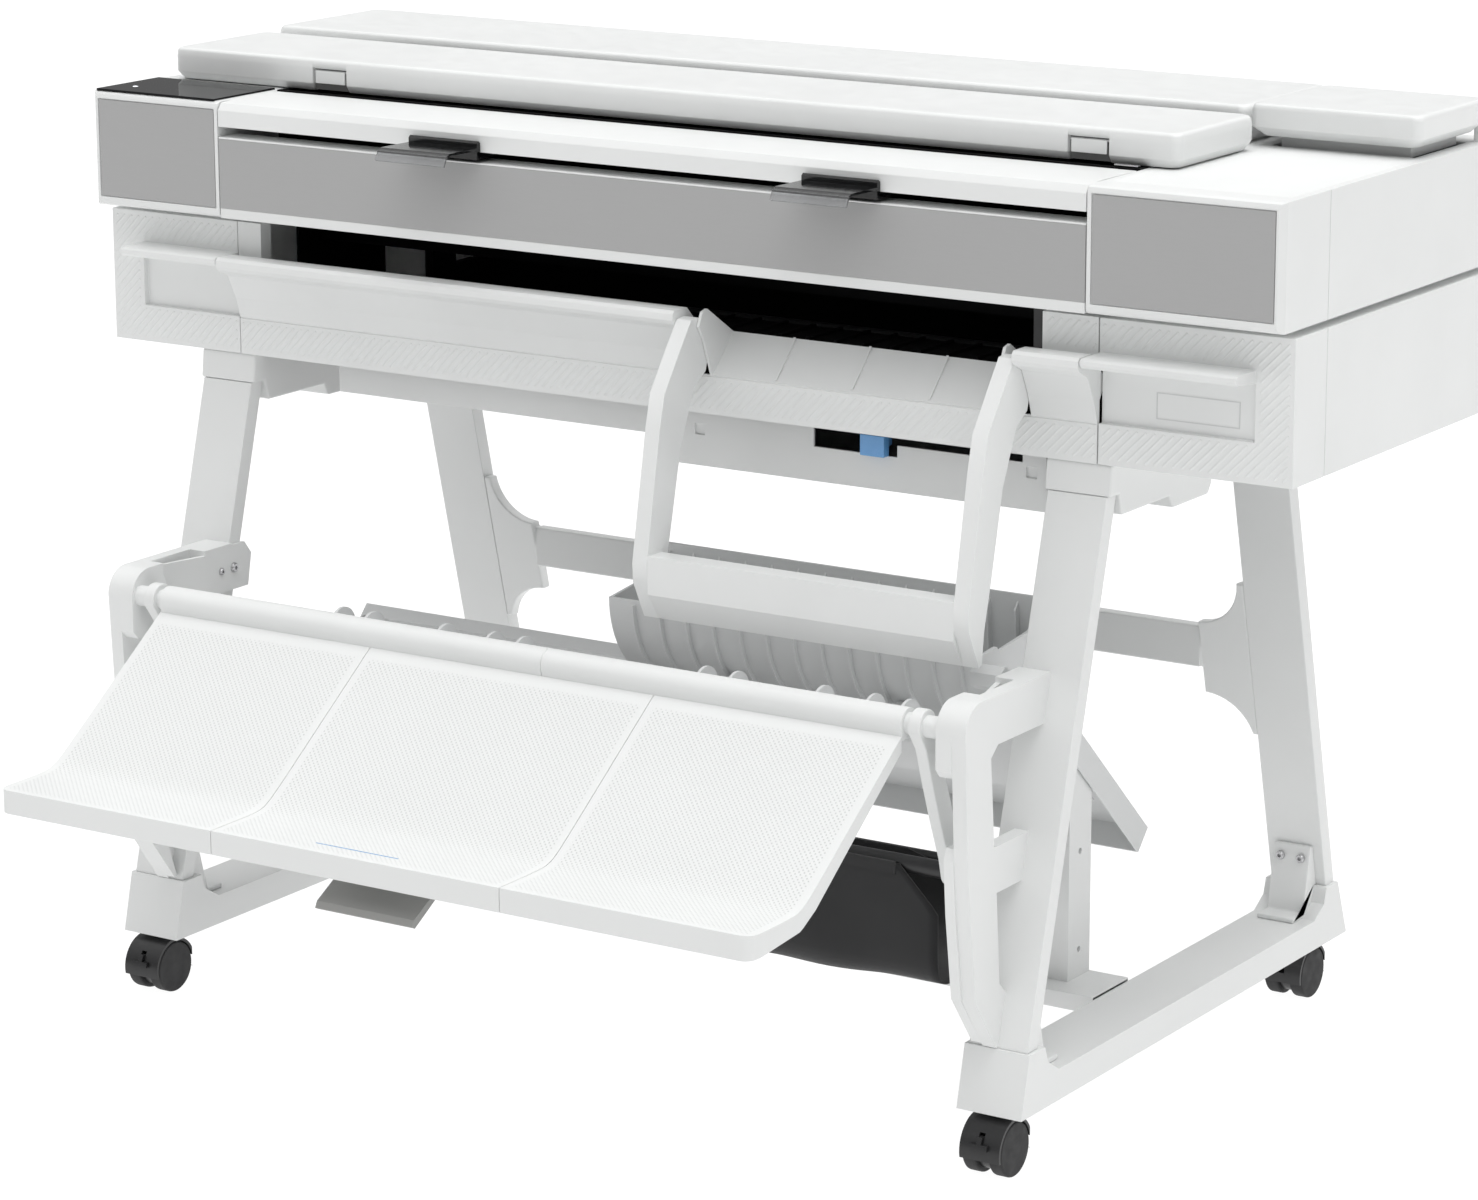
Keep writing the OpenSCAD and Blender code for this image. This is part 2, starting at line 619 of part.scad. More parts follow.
// One end of the upper half, its front edges eased, with a recess for the grey panel.
module upper_end(x0, x1, in0, in1) difference() {
    run_x(x0, x1) polygon([[body_d, deck_z], [6, deck_z], [1.8, deck_z - 1.8], [0, deck_z - 6],
        [0, up_z + 5], [1.6, up_z + 1.6], [5, up_z], [body_d, up_z]]);
    for (x = [x0, x1]) if (abs(x) > hw - 1) translate([x, 0, up_z]) rotate([0, 0, 45])
        cube([corner_cut, corner_cut, 3 * up_h], center = true);
    block([x0 + wall, x1 - wall], [wall + inset_t, body_d - wall], [up_z + wall, deck_z - wall]);
    block([in0, in1], [-1, inset_t], [up_z + 9, deck_z - 7]);
    side_seam(x0, [up_z - 1, deck_z + 1]);
    side_seam(x1, [up_z - 1, deck_z + 1]);
}

// Groove down the outer side, where the front moulding meets the rear one.
module side_seam(x, z) if (abs(x) > hw - 2) block([x - seam_cut, x + seam_cut], [seam_y, seam_y + 1.4], z);

module upper_end_left() color(white) placed() upper_end(-hw, seam_l, -hw + 8, seam_l - 4);

module upper_end_right() color(white) placed() {
    difference() {
        upper_end(seam_r, hw, seam_r + 4, hw - 8);
        block([498, 642], [290, 400], [deck_z - 5, deck_z + 1]);
    }
    for (x = [480, 646]) {
        block([x, x + 6], [406, 420], [deck_z, ink_axis[1] + 4]);
        bar_x(x == 480 ? x + 6 : x - 14, x == 480 ? x + 20 : x, ink_axis[0], ink_axis[1], 3);
    }
}

module front_fascia() color(white) placed() run_x(seam_l + joint_gap, seam_r - joint_gap)
    polygon([[0, up_z], [0, up_z + 10], [inset_t, up_z + 10], [inset_t, up_z + 78], [0, up_z + 78],
        [0, up_z + 80], [30, up_z + 80], [30, up_z + 77], [5, up_z + 77], [5, up_z + 3], [80, up_z + 3],
        [80, up_z]]);

module fascia_insets() color(grey) placed() {
    block([-hw + 9, seam_l - 5], [0.4, inset_t], [up_z + 10, deck_z - 8]);
    block([seam_l + joint_gap, seam_r - joint_gap], [0.2, inset_t], [up_z + 10, up_z + 78]);
    block([seam_r + 5, hw - 9], [0.4, inset_t], [up_z + 10, deck_z - 8]);
}

module feed_table() color(white) placed() run_x(seam_l + joint_gap, seam_r - joint_gap)
    polygon([[0, up_z + 90], [0, deck_z - 8], [5, deck_z - 1], [30, deck_z + 0.5], [92, deck_z],
        [92, deck_z - 3], [30, deck_z - 2.5], [7, deck_z - 4], [3, deck_z - 9], [3, up_z + 93],
        [92, up_z + 93], [92, up_z + 90]]);

// Document guide: a tongue in the slot, an upright plate, a shelf and its turned-down lip.
slot_z = up_z + 80;

module guide(x0, x1) color("#34363a") placed() run_x(x0, x1)
    polygon([[40, slot_z + 3.4], [40, slot_z + 5.4], [-1, slot_z + 5.4], [-1, slot_z + 19],
        [-3.5, slot_z + 21], [-6, slot_z + 19], [-6, slot_z + 14.6], [-50, slot_z + 15],
        [-55, slot_z + 12.5], [-59, slot_z + 4], [-57.4, slot_z + 3], [-54, slot_z + 10.5],
        [-49, slot_z + 12.8], [-6, slot_z + 12.4], [-6, slot_z + 3.4]]);

module guide_left() guide(-262, -182);
module guide_right() guide(178, 258);

module scanner_base() color(black) placed() {
    difference() {
        block([seam_l, seam_r], [95, 262], [up_z + 60, deck_z + 1]);
        block([seam_l + 4, seam_r - 4], [99, 258], [up_z + 64, deck_z + 2]);
    }
    bar_x(seam_l + 4, seam_r - 4, 118, deck_z - 12, 7);
    bar_x(seam_l + 4, seam_r - 4, 226, deck_z - 12, 7);
    block([seam_l + 4, seam_r - 4], [130, 214], [deck_z - 8, deck_z - 5]);
    for (x = [-480, 430]) {
        block([x, x + 6], [lid_axis[0] - 5, 258], [deck_z - 20, deck_z - 4]);
        block([x, x + 6], [lid_axis[0] - 5, lid_axis[0] + 3], [deck_z - 4, lid_axis[1] + 5]);
        bar_x(x + 6, x + 20, lid_axis[0], lid_axis[1], 3);
    }
    block([seam_l, seam_r], [262, 265], [up_z, deck_z]);
}

lid_axis = [246, 892];
roll_axis = [434, 896];
ink_axis = [412, 899];
lid_x = [-640, 500];
latch_x = [-464, 388];
latch_w = 42;
latch_pin = [110, 900];

module scanner_lid() color(white) placed() {
    difference() {
        run_x(lid_x[0], lid_x[1]) polygon([[107, deck_z + 1.5], [107, 904], [115, 912], [244, 912],
            [254, 906], [254, 888], [247, deck_z + 1.5]]);
        run_x(lid_x[0] + wall, lid_x[1] - wall) polygon([[116, deck_z + 1], [116, 902], [119, 909],
            [244, 909], [251, 904], [251, 889], [243, deck_z + 1]]);
        for (x = latch_x) {
            block([x, x + latch_w], [106, 113], [886, 903]);
            bar_x(x - 2.2, x + latch_w + 2.2, latch_pin[0], latch_pin[1], 1.9 + fit);
        }
        for (x = [-482, 428]) block([x, x + 22], [240, 256], [deck_z, 902]);
    }
    for (x = [-472, 438]) cover_lug(x, lid_axis, 909.6);
}

module lid_latches() color(grey) placed() for (x = latch_x) {
    difference() {
        block([x + 0.4, x + latch_w - 0.4], [107.5, 110], [886.5, 901.3]);
        block([x + 12, x + latch_w - 12], [107, 109], [889, 893]);
    }
    bar_x(x - 2, x + latch_w + 2, latch_pin[0], latch_pin[1], 1.9);
}

module roll_cover() color(white) placed() {
    difference() {
        run_x(-645, 478) polygon([[280, deck_z + 1.5], [280, 907], [288, 915], [410, 915], [435, 912],
            [446, 905], [449, 897], [449, 892]]);
        run_x(-642, 475) polygon([[283, deck_z], [283, 906], [289, 912], [410, 912], [434, 909],
            [443.5, 903], [446, 896.5], [446, deck_z]]);
        for (x = [-482, 428]) block([x, x + 22], [441, 451], [deck_z, 902]);
    }
    for (x = [-472, 438]) cover_lug(x, roll_axis, 910.5);
}

module ink_cover() color(white) placed() {
    difference() {
        union() {
            run_x(484, 655) polygon([[272, 898], [280, 889], [418, 889], [422, 894], [422, 914], [416, 919],
                [278, 919], [272, 913]]);
            block([504, 636], [296, 394], [deck_z - 3, 892]);
        }
        block([488, 651], [286, 419], [892, 916]);
        block([507, 633], [299, 391], [deck_z - 4, 893]);
        for (x = [[478, 502], [630, 657]]) block(x, [400, 426], [880, 914]);
    }
    for (x = [488, 634]) cover_lug(x, ink_axis, 917);
}

module control_panel() color("#0d0e10") placed() block([-655, -506], [4, 100], [deck_z, deck_z + 2]);

// ---------------------------------------------------------------- mechanism

belt_y = 205;
pulley_z = 742;
pulley_r = 12;
pulley_x = [-470, 436];
rail_y = [158, 196];
spindle_y = 352;
spindle_z = 820;
feed_y = 143;
feed_z = 688;
feed_r = 11;

module carriage_rail() color(steel) placed() {
    // Channel section, open at the back.
    difference() {
        block([seam_l, seam_r], rail_y, [722, 764]);
        block([seam_l + 3, seam_r - 3], [rail_y[0] + 4, rail_y[1] + 1], [726, 760]);
    }
    for (x = [seam_l, seam_r - 3]) difference() {
        block([x, x + 3], [120, 262], [body_z + wall, up_z]);
        bar_x(x - 1, x + 4, feed_y, feed_z, 5 + fit);
    }
    bar_y(196, 212, pulley_x[0], pulley_z, 4);
}

carriage_x = 412;

module carriage() color(black) placed() {
    difference() {
        block([carriage_x - 45, carriage_x + 45], [86, 157.7], [704, 764.4]);
        block([carriage_x - 41, carriage_x + 41], [90, 140], [730, 766]);
    }
    for (i = [0:3]) block([carriage_x - 29 + i * 16, carriage_x - 19 + i * 16], [96, 140], [730, 752]);
    block([carriage_x - 9, carriage_x + 9], [142, 201.2], [764.4, 766.4]);
}

module drive_belt() color(black) placed() difference() {
    union() {
        for (x = pulley_x) bar_y(belt_y - 3.5, belt_y + 3.5, x, pulley_z, pulley_r + 1.6);
        block(pulley_x, [belt_y - 3.5, belt_y + 3.5],
            [pulley_z - pulley_r - 1.6, pulley_z + pulley_r + 1.6]);
    }
    for (x = pulley_x) bar_y(belt_y - 5, belt_y + 5, x, pulley_z, pulley_r + 0.3);
    block(pulley_x, [belt_y - 5, belt_y + 5], [pulley_z - pulley_r - 0.3, pulley_z + pulley_r + 0.3]);
}

module drive_pulley() color(steel) placed() difference() {
    bar_y(belt_y - 4.5, belt_y + 4.5, pulley_x[1], pulley_z, pulley_r);
    bar_y(belt_y - 6, belt_y + 6, pulley_x[1], pulley_z, 3 + fit);
}

module drive_motor() color("#5b5e63") placed() {
    bar_y(212, 262, pulley_x[1], pulley_z, 20);
    bar_y(belt_y - 6, 212, pulley_x[1], pulley_z, 3);
}

module platen() color(black) placed() {
    block([-470, 408], [64, 128], [690, 698]);
    for (i = [0:28]) block([-462 + i * 30, -459 + i * 30], [66, 126], [698, 701]);
    for (x = [-470, 396]) block([x, x + 12], [64, 128], [body_z + wall, 690]);
}

module feed_roller() color("#3b3b3d") placed() {
    bar_x(-474, 414, feed_y, feed_z, feed_r);
    bar_x(seam_l + 0.2, seam_r - 0.2, feed_y, feed_z, 5);
}

module ink_cartridges() color("#2d2f33") placed()
    for (i = [0:3]) block([508 + i * 32, 536 + i * 32], [292, 398], [up_z + wall, 872]);

module roll_spindle() color("#303236") placed() {
    bar_x(seam_l + 0.5, seam_r - 0.5, spindle_y, spindle_z, 12);
    for (x = [[-478, -458], [436, 456]]) bar_x(x[0], x[1], spindle_y, spindle_z, 42);
}

feet();
front_legs();
rear_legs();
stand_heads();
low_beam();
rear_beam();
leg_brackets();
stand_bolts();
caster_fork_fl();
caster_fork_fr();
caster_fork_rl();
caster_fork_rr();
caster_wheels_fl();
caster_wheels_fr();
caster_wheels_rl();
caster_wheels_rr();
caster_brake_fl();
caster_brake_fr();
tray_brackets();
tray_rod();
tray_panels();
tray_hinge_strip();
tray_flap();
deflector_basket();
bin_frame();
bin_cloth();
stacker_ramp();
ramp_posts();
bail_frame();
chassis();
lower_end_left();
lower_end_right();
output_ledge();
output_ramp();
under_tray();
under_tray_latch();
power_inlet();
upper_end_left();
upper_end_right();
front_fascia();
fascia_insets();
feed_table();
guide_left();
guide_right();
scanner_base();
scanner_lid();
lid_latches();
roll_cover();
ink_cover();
control_panel();
carriage_rail();
carriage();
drive_belt();
drive_pulley();
drive_motor();
platen();
feed_roller();
ink_cartridges();
roll_spindle();
power_supply();
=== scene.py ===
import math

import bpy
from mathutils import Matrix, Vector


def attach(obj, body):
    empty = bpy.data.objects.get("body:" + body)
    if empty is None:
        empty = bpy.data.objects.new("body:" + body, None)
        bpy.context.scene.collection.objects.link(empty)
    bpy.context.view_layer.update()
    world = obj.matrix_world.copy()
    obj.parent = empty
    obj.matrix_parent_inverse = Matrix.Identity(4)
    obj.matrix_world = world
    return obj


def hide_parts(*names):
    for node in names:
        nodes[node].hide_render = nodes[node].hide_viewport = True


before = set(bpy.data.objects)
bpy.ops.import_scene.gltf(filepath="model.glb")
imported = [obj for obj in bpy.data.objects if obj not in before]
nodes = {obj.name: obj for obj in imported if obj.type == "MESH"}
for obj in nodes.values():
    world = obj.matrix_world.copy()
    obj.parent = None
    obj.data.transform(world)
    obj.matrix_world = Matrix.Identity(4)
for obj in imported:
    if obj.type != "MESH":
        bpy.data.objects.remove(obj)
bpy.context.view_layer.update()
scene = bpy.context.scene

MM = 0.001
FASCIA_Y = -62
STAND_X = -34.5
BODY_Z, LOW_TOP, DECK_Z = 626, 758, 879
SEAM_L, SEAM_R, HALF_W = -499.5, 467.5, 658.5
FRONT_LOW = 26.4
GROOVE_Z, LEDGE_Z = 661, 727


def at(x, y, z):
    """A point given in millimetres, with Y measured back from the fascia."""
    return Vector((x * MM, (y + FASCIA_Y) * MM, z * MM))


# ------------------------------------------------------------- materials


class Nodes:
    """Short names for building one material's nodes."""

    def __init__(self, name):
        self.material = bpy.data.materials.new(name)
        self.material.use_nodes = True
        self.tree = self.material.node_tree
        self.tree.nodes.clear()
        out = self.tree.nodes.new("ShaderNodeOutputMaterial")
        self.shader = self.tree.nodes.new("ShaderNodeBsdfPrincipled")
        self.link(self.shader.outputs[0], out.inputs[0])
        self.where = self.tree.nodes.new("ShaderNodeTexCoord").outputs["Object"]

    def link(self, a, b):
        self.tree.links.new(a, b)

    def put(self, socket, value):
        if isinstance(value, bpy.types.NodeSocket):
            self.link(value, socket)
        else:
            socket.default_value = value

    def noise(self, scale, detail=3.0, vector=None, stretch=None):
        n = self.tree.nodes.new("ShaderNodeTexNoise")
        n.inputs["Scale"].default_value = scale
        n.inputs["Detail"].default_value = detail
        self.link(self.scaled(stretch) if stretch else (vector or self.where), n.inputs["Vector"])
        return n.outputs["Fac"]

    def scaled(self, by, vector=None):
        n = self.tree.nodes.new("ShaderNodeMapping")
        n.inputs["Scale"].default_value = by
        self.link(vector or self.where, n.inputs["Vector"])
        return n.outputs[0]

    def math(self, operation, a, b=0.0, c=0.0):
        n = self.tree.nodes.new("ShaderNodeMath")
        n.operation = operation
        for socket, value in zip(n.inputs, (a, b, c)):
            self.put(socket, value)
        return n.outputs[0]

    def ranged(self, value, low, high, to_low=0.0, to_high=1.0, smooth=False):
        n = self.tree.nodes.new("ShaderNodeMapRange")
        n.interpolation_type = "SMOOTHSTEP" if smooth else "LINEAR"
        for i, v in enumerate((value, low, high, to_low, to_high)):
            self.put(n.inputs[i], v)
        return n.outputs[0]

    def blend(self, fac, a, b):
        n = self.tree.nodes.new("ShaderNodeMix")
        n.data_type = "RGBA"
        self.put(n.inputs[0], fac)
        self.put(n.inputs[6], a if isinstance(a, bpy.types.NodeSocket) else (*a, 1))
        self.put(n.inputs[7], b if isinstance(b, bpy.types.NodeSocket) else (*b, 1))
        return n.outputs[2]

    def bump(self, height, distance, strength=1.0, normal=None):
        n = self.tree.nodes.new("ShaderNodeBump")
        n.inputs["Distance"].default_value = distance
        n.inputs["Strength"].default_value = strength
        self.link(height, n.inputs["Height"])
        if normal:
            self.link(normal, n.inputs["Normal"])
        return n.outputs[0]

    def axes(self):
        n = self.tree.nodes.new("ShaderNodeSeparateXYZ")
        self.link(self.where, n.inputs[0])
        return n.outputs

    def pair(self, a, b):
        n = self.tree.nodes.new("ShaderNodeCombineXYZ")
        self.put(n.inputs[0], a)
        self.put(n.inputs[1], b)
        return n.outputs[0]

    def grid(self, vector, pitch):
        """Distance to the nearest point of a square grid, in units of the pitch."""
        n = self.tree.nodes.new("ShaderNodeTexVoronoi")
        n.voronoi_dimensions = "2D"
        n.inputs["Scale"].default_value = 1 / pitch
        n.inputs["Randomness"].default_value = 0
        self.link(vector, n.inputs["Vector"])
        return n.outputs["Distance"]

    def done(self, colour=None, roughness=None, normal=None, **sockets):
        for name, value in (("Base Color", colour), ("Roughness", roughness), ("Normal", normal)):
            if value is not None:
                self.put(self.shader.inputs[name], value)
        for name, value in sockets.items():
            self.shader.inputs[name.replace("_", " ")].default_value = value
        return self.material


def shades(colour, amount):
    return [c * (1 - amount) for c in colour], [min(1, c * (1 + amount)) for c in colour]


def moulded(name, colour, rough=0.42, tint=0.02, grain=1400, depth=0.00003, **sockets):
    """Moulded plastic: spark-eroded grain, slow colour drift and faint handling marks."""
    n = Nodes(name)
    low, high = shades(colour, tint)
    grained = n.noise(grain, 2)
    drift = n.ranged(n.noise(7, 4), 0.3, 0.7)
    marks = n.noise(60, 6)
    base = n.blend(drift, low, high)
    roughness = n.math("ADD", n.ranged(grained, 0.3, 0.7, rough - 0.05, rough + 0.05),
                       n.ranged(marks, 0.35, 0.7, -0.03, 0.05))
    return n.done(base, roughness, n.bump(grained, depth, 0.7), **sockets)


def painted(name, colour, rough=0.38):
    """Powder coat: orange-peel waviness over fine speckle."""
    n = Nodes(name)
    low, high = shades(colour, 0.018)
    peel = n.noise(420, 3)
    base = n.blend(n.ranged(n.noise(5, 5), 0.3, 0.7), low, high)
    roughness = n.ranged(peel, 0.3, 0.7, rough - 0.06, rough + 0.06)
    return n.done(base, roughness, n.bump(peel, 0.00006, 0.6), Coat_Weight=0.12, Coat_Roughness=0.3)


def brushed(name, colour, rough=0.32, along="X"):
    """Plated steel with drawn streaks along one axis."""
    n = Nodes(name)
    low, high = shades(colour, 0.12)
    streaks = n.noise(300, 4, stretch=(0.04, 1, 1) if along == "X" else (1, 0.04, 1))
    base = n.blend(streaks, low, high)
    roughness = n.ranged(streaks, 0.3, 0.7, rough - 0.08, rough + 0.1)
    return n.done(base, roughness, n.bump(streaks, 0.00002, 0.6), Metallic=1.0)


WHITE = (0.80, 0.81, 0.805)
white = moulded("white_plastic", WHITE)
white_fine = moulded("white_plastic_fine", (0.82, 0.83, 0.825), rough=0.36, grain=2200)
# White plastic darkened as painted shade, for the deflector basket and the blank plate outline.
painted_shade_white = moulded("shade_plastic", (0.66, 0.67, 0.67), rough=0.46)
stand = painted("stand_paint", (0.78, 0.79, 0.785))
sheet_metal = painted("sheet_paint", (0.70, 0.71, 0.71), rough=0.42)
black = moulded("black_plastic", (0.018, 0.018, 0.019), rough=0.36, tint=0.2, grain=1100)
# Dull black for the parts inside the machine: partly their own black, partly painted shade, as on the steel
# carriage rail and the chassis.
dull_black_and_painted_shade = moulded("black_inner_and_painted_shade", (0.005, 0.005, 0.0055), rough=0.75, tint=0.3, Specular_IOR_Level=0.12)
# Dark grey sheet behind the latch pockets: painted shade in the gaps round the latch tabs.
painted_shade_liner = moulded("latch_painted_shade", (0.16, 0.16, 0.16), rough=0.5)
grey_flap = moulded("grey_plastic", (0.33, 0.33, 0.32), rough=0.40)
steel = brushed("plated_steel", (0.56, 0.56, 0.57))
dark_steel = brushed("dark_steel", (0.04, 0.04, 0.042), rough=0.5)
blue = moulded("blue_plastic", (0.14, 0.38, 0.74), rough=0.25, tint=0.05, Coat_Weight=0.3)


def fascia_grey():
    """Painted panel with a very fine metallic grain that runs along X."""
    n = Nodes("grey_panel")
    lines = n.noise(900, 2, stretch=(0.06, 1, 1))
    low, high = shades((0.405, 0.405, 0.405), 0.035)
    drift = n.noise(6, 3)
    base = n.blend(n.math("MULTIPLY_ADD", lines, 0.6, n.math("MULTIPLY", drift, 0.4)), low, high)
    return n.done(base, n.ranged(lines, 0.3, 0.7, 0.34, 0.46), n.bump(lines, 0.00002, 0.5))


def panel_gloss():
    """Black display glass: smudged clear coat over a faint dot grid."""
    n = Nodes("black_gloss")
    smudge = n.noise(28, 6)
    x, y, _ = n.axes()
    dots = n.ranged(n.grid(n.pair(x, y), 0.0016), 0.15, 0.3, 1.0, 0.0)
    base = n.blend(n.math("MULTIPLY", dots, 0.25), (0.006, 0.006, 0.007), (0.02, 0.021, 0.024))
    return n.done(base, n.ranged(smudge, 0.4, 0.75, 0.02, 0.09), n.bump(smudge, 0.00002, 0.15),
                  Specular_IOR_Level=0.12)


def smoked():
    """Dark clear plastic whose front lip is almost colourless."""
    n = Nodes("smoked_plastic")
    haze = n.noise(40, 5)
    streak = n.noise(500, 2, stretch=(1, 0.05, 1))
    _, y, _ = n.axes()
    lip = n.ranged(y, (-50 + FASCIA_Y) * MM, (-57 + FASCIA_Y) * MM)
    smoke_tint = n.blend(n.ranged(haze, 0.3, 0.7), (0.03, 0.031, 0.032), (0.07, 0.072, 0.075))
    base = n.blend(lip, smoke_tint, (0.72, 0.73, 0.74))
    return n.done(base, n.ranged(streak, 0.3, 0.7, 0.05, 0.16), n.bump(streak, 0.00002, 0.3),
                  Transmission_Weight=0.88, IOR=1.47)


def tray_dots():
    """White plastic moulded with a staggered grid of small dimples inside each panel's margins."""
    n = Nodes("tray_plastic")
    x, y, z = n.axes()
    slope = n.math("MULTIPLY_ADD", z, 0.322, y)
    turned = n.pair(n.math("ADD", x, slope), n.math("SUBTRACT", x, slope))
    dimple_and_painted_shade = n.ranged(n.grid(turned, 0.0054), 0.14, 0.30, 1.0, 0.0, smooth=True)
    inside = n.math("MULTIPLY", n.ranged(y, (-403 + FASCIA_Y) * MM, (-398 + FASCIA_Y) * MM),
                    n.ranged(y, (-176 + FASCIA_Y) * MM, (-179 + FASCIA_Y) * MM))
    for cut in TRAY_CUTS:
        away = n.math("ABSOLUTE", n.math("SUBTRACT", x, (cut + STAND_X) * MM))
        inside = n.math("MULTIPLY", inside, n.ranged(away, 0.0075, 0.0085))
    dimple_and_painted_shade = n.math("MULTIPLY", dimple_and_painted_shade, inside)
    grained = n.noise(1300, 2)
    low, high = shades((0.79, 0.80, 0.795), 0.02)
    # The dimples are also painted darker: painted shade in the hollows.
    base = n.blend(n.math("MULTIPLY", dimple_and_painted_shade, 0.42), n.blend(n.noise(7, 4), low, high), (0.42, 0.43, 0.43))
    height = n.math("SUBTRACT", n.math("MULTIPLY", grained, 0.08), dimple_and_painted_shade)
    return n.done(base, n.ranged(grained, 0.3, 0.7, 0.40, 0.5), n.bump(height, 0.0004, 0.8))


def woven(name, colour, pitch):
    """Plain weave: warp and weft threads as two crossed waves."""
    n = Nodes(name)
    x, y, z = n.axes()
    run = n.math("ADD", y, z)
    warp = n.math("SINE", n.math("MULTIPLY", x, 2 * math.pi / pitch))
    weft = n.math("SINE", n.math("MULTIPLY", run, 2 * math.pi / pitch))
    thread = n.math("MULTIPLY", n.math("ADD", n.math("MULTIPLY", warp, weft), 1.0), 0.5)
    low, high = shades(colour, 0.35)
    # Colour: half random tone, half painted shade, lighter on the threads' crests and darker in the hollows
    # between them.
    base = n.blend(n.math("MULTIPLY_ADD", n.noise(30, 4), 0.5, n.math("MULTIPLY", thread, 0.5)), low, high)
    fuzz = n.noise(2500, 2)
    height = n.math("MULTIPLY_ADD", fuzz, 0.25, thread)
    return n.done(base, n.ranged(thread, 0, 1, 0.95, 0.8), n.bump(height, 0.0003, 0.8),
                  Sheen_Weight=0.25, Sheen_Roughness=0.5)


def rubber(name, colour):
    n = Nodes(name)
    low, high = shades(colour, 0.25)
    dust = n.noise(90, 6)
    return n.done(n.blend(dust, low, high), n.ranged(dust, 0.3, 0.7, 0.55, 0.75),
                  n.bump(n.noise(700, 3), 0.00005, 0.6))


TRAY_HALF = 417
TRAY_CUTS = (-TRAY_HALF, -163.5, 156.5, TRAY_HALF)
grey = fascia_grey()
gloss = panel_gloss()
smoke = smoked()
tray_white = tray_dots()
cloth_black = woven("woven_black", (0.012, 0.012, 0.013), 0.0011)
wheel_rubber = rubber("wheel_rubber", (0.02, 0.02, 0.021))


def lamp_glow():
    n = Nodes("lamp_glow")
    spot = n.noise(300, 2)
    return n.done(n.blend(spot, (0.85, 0.87, 0.9), (0.95, 0.96, 1.0)), 0.3,
                  Emission_Color=(0.9, 0.95, 1.0, 1.0), Emission_Strength=0.8)


glow = lamp_glow()

# ------------------------------------------------- finishes of the CAD nodes

FINISH = {
    "feet": (stand, 3.0), "front_legs": (stand, 4.0), "rear_legs": (stand, 4.0), "stand_heads": (stand, 2.5),
    "low_beam": (stand, 3.0), "rear_beam": (stand, 2.0), "leg_brackets": (white, 1.6),
    "tray_brackets": (white, 3.0), "tray_rod": (stand, 0), "tray_hinge_strip": (white, 0.8),
    # The deflector basket takes the white darkened as painted shade.
    "tray_flap": (grey_flap, 0.8), "deflector_basket": (painted_shade_white, 0.4), "bin_frame": (black, 0),
    "stacker_ramp": (sheet_metal, 0.5), "ramp_posts": (stand, 1.0), "bail_frame": (white_fine, 2.0),
    # The chassis, scanner base, carriage rail and platen take the dull black, partly painted shade inside the
    # machine.
    "chassis": (dull_black_and_painted_shade, 0), "lower_end_left": (white, 1.2), "lower_end_right": (white, 1.2),
    "output_ledge": (white, 0), "output_ramp": (white, 0.6), "under_tray": (white, 0.8),
    "under_tray_latch": (blue, 0.8), "power_inlet": (black, 0.4), "upper_end_left": (white, 1.6),
    "upper_end_right": (white, 1.6), "front_fascia": (white, 1.0), "fascia_insets": (grey, 0.3),
    "feed_table": (white_fine, 0.6), "guide_left": (smoke, 0), "guide_right": (smoke, 0),
    "scanner_base": (dull_black_and_painted_shade, 0), "scanner_lid": (white_fine, 2.0), "lid_latches": (white, 0.4),
    "roll_cover": (white_fine, 2.0), "ink_cover": (white_fine, 2.0), "control_panel": (gloss, 0.5),
    "carriage_rail": (dull_black_and_painted_shade, 0), "carriage": (black, 0.6), "drive_belt": (wheel_rubber, 0),
    "drive_pulley": (steel, 0), "drive_motor": (dark_steel, 0), "platen": (dull_black_and_painted_shade, 0),
    "feed_roller": (wheel_rubber, 0), "ink_cartridges": (black, 0.8), "roll_spindle": (black, 0.8),
    "power_supply": (steel, 0),
}
for corner in ("fl", "fr", "rl", "rr"):
    FINISH["caster_fork_" + corner] = (black, 0.5)
    FINISH["caster_wheels_" + corner] = (wheel_rubber, 2.0)
for corner in ("fl", "fr"):
    FINISH["caster_brake_" + corner] = (black, 0.3)


def round_edges(ob, width, angle):
    """Rounds the edges that are sharper than the angle in degrees."""
    edge = ob.modifiers.new("edge", "BEVEL")
    edge.width = width * MM
    edge.segments = 3
    edge.limit_method = "ANGLE"
    edge.angle_limit = math.radians(angle)
    ob.modifiers.new("normal", "WEIGHTED_NORMAL").weight = 80


def skin(ob, thickness, offset=-1):
    """Gives a surface its thickness in millimetres."""
    solid = ob.modifiers.new("skin", "SOLIDIFY")
    solid.thickness = thickness * MM
    solid.offset = offset


def soften(ob, width):
    """Rounds an object's edges after welding the faces that model.glb stores apart."""
    weld = ob.modifiers.new("weld", "WELD")
    weld.merge_threshold = 1e-6
    flat = ob.modifiers.new("flat", "DECIMATE")
    flat.decimate_type = "DISSOLVE"
    flat.angle_limit = math.radians(0.4)
    round_edges(ob, width, 30)


for name, (material, width) in FINISH.items():
    ob = nodes[name]
    for i in range(len(ob.material_slots)):
        ob.material_slots[i].material = material
    if not ob.material_slots:
        ob.data.materials.append(material)
    if width:
        soften(ob, width)

# ---------------------------------------------------------------- pieces


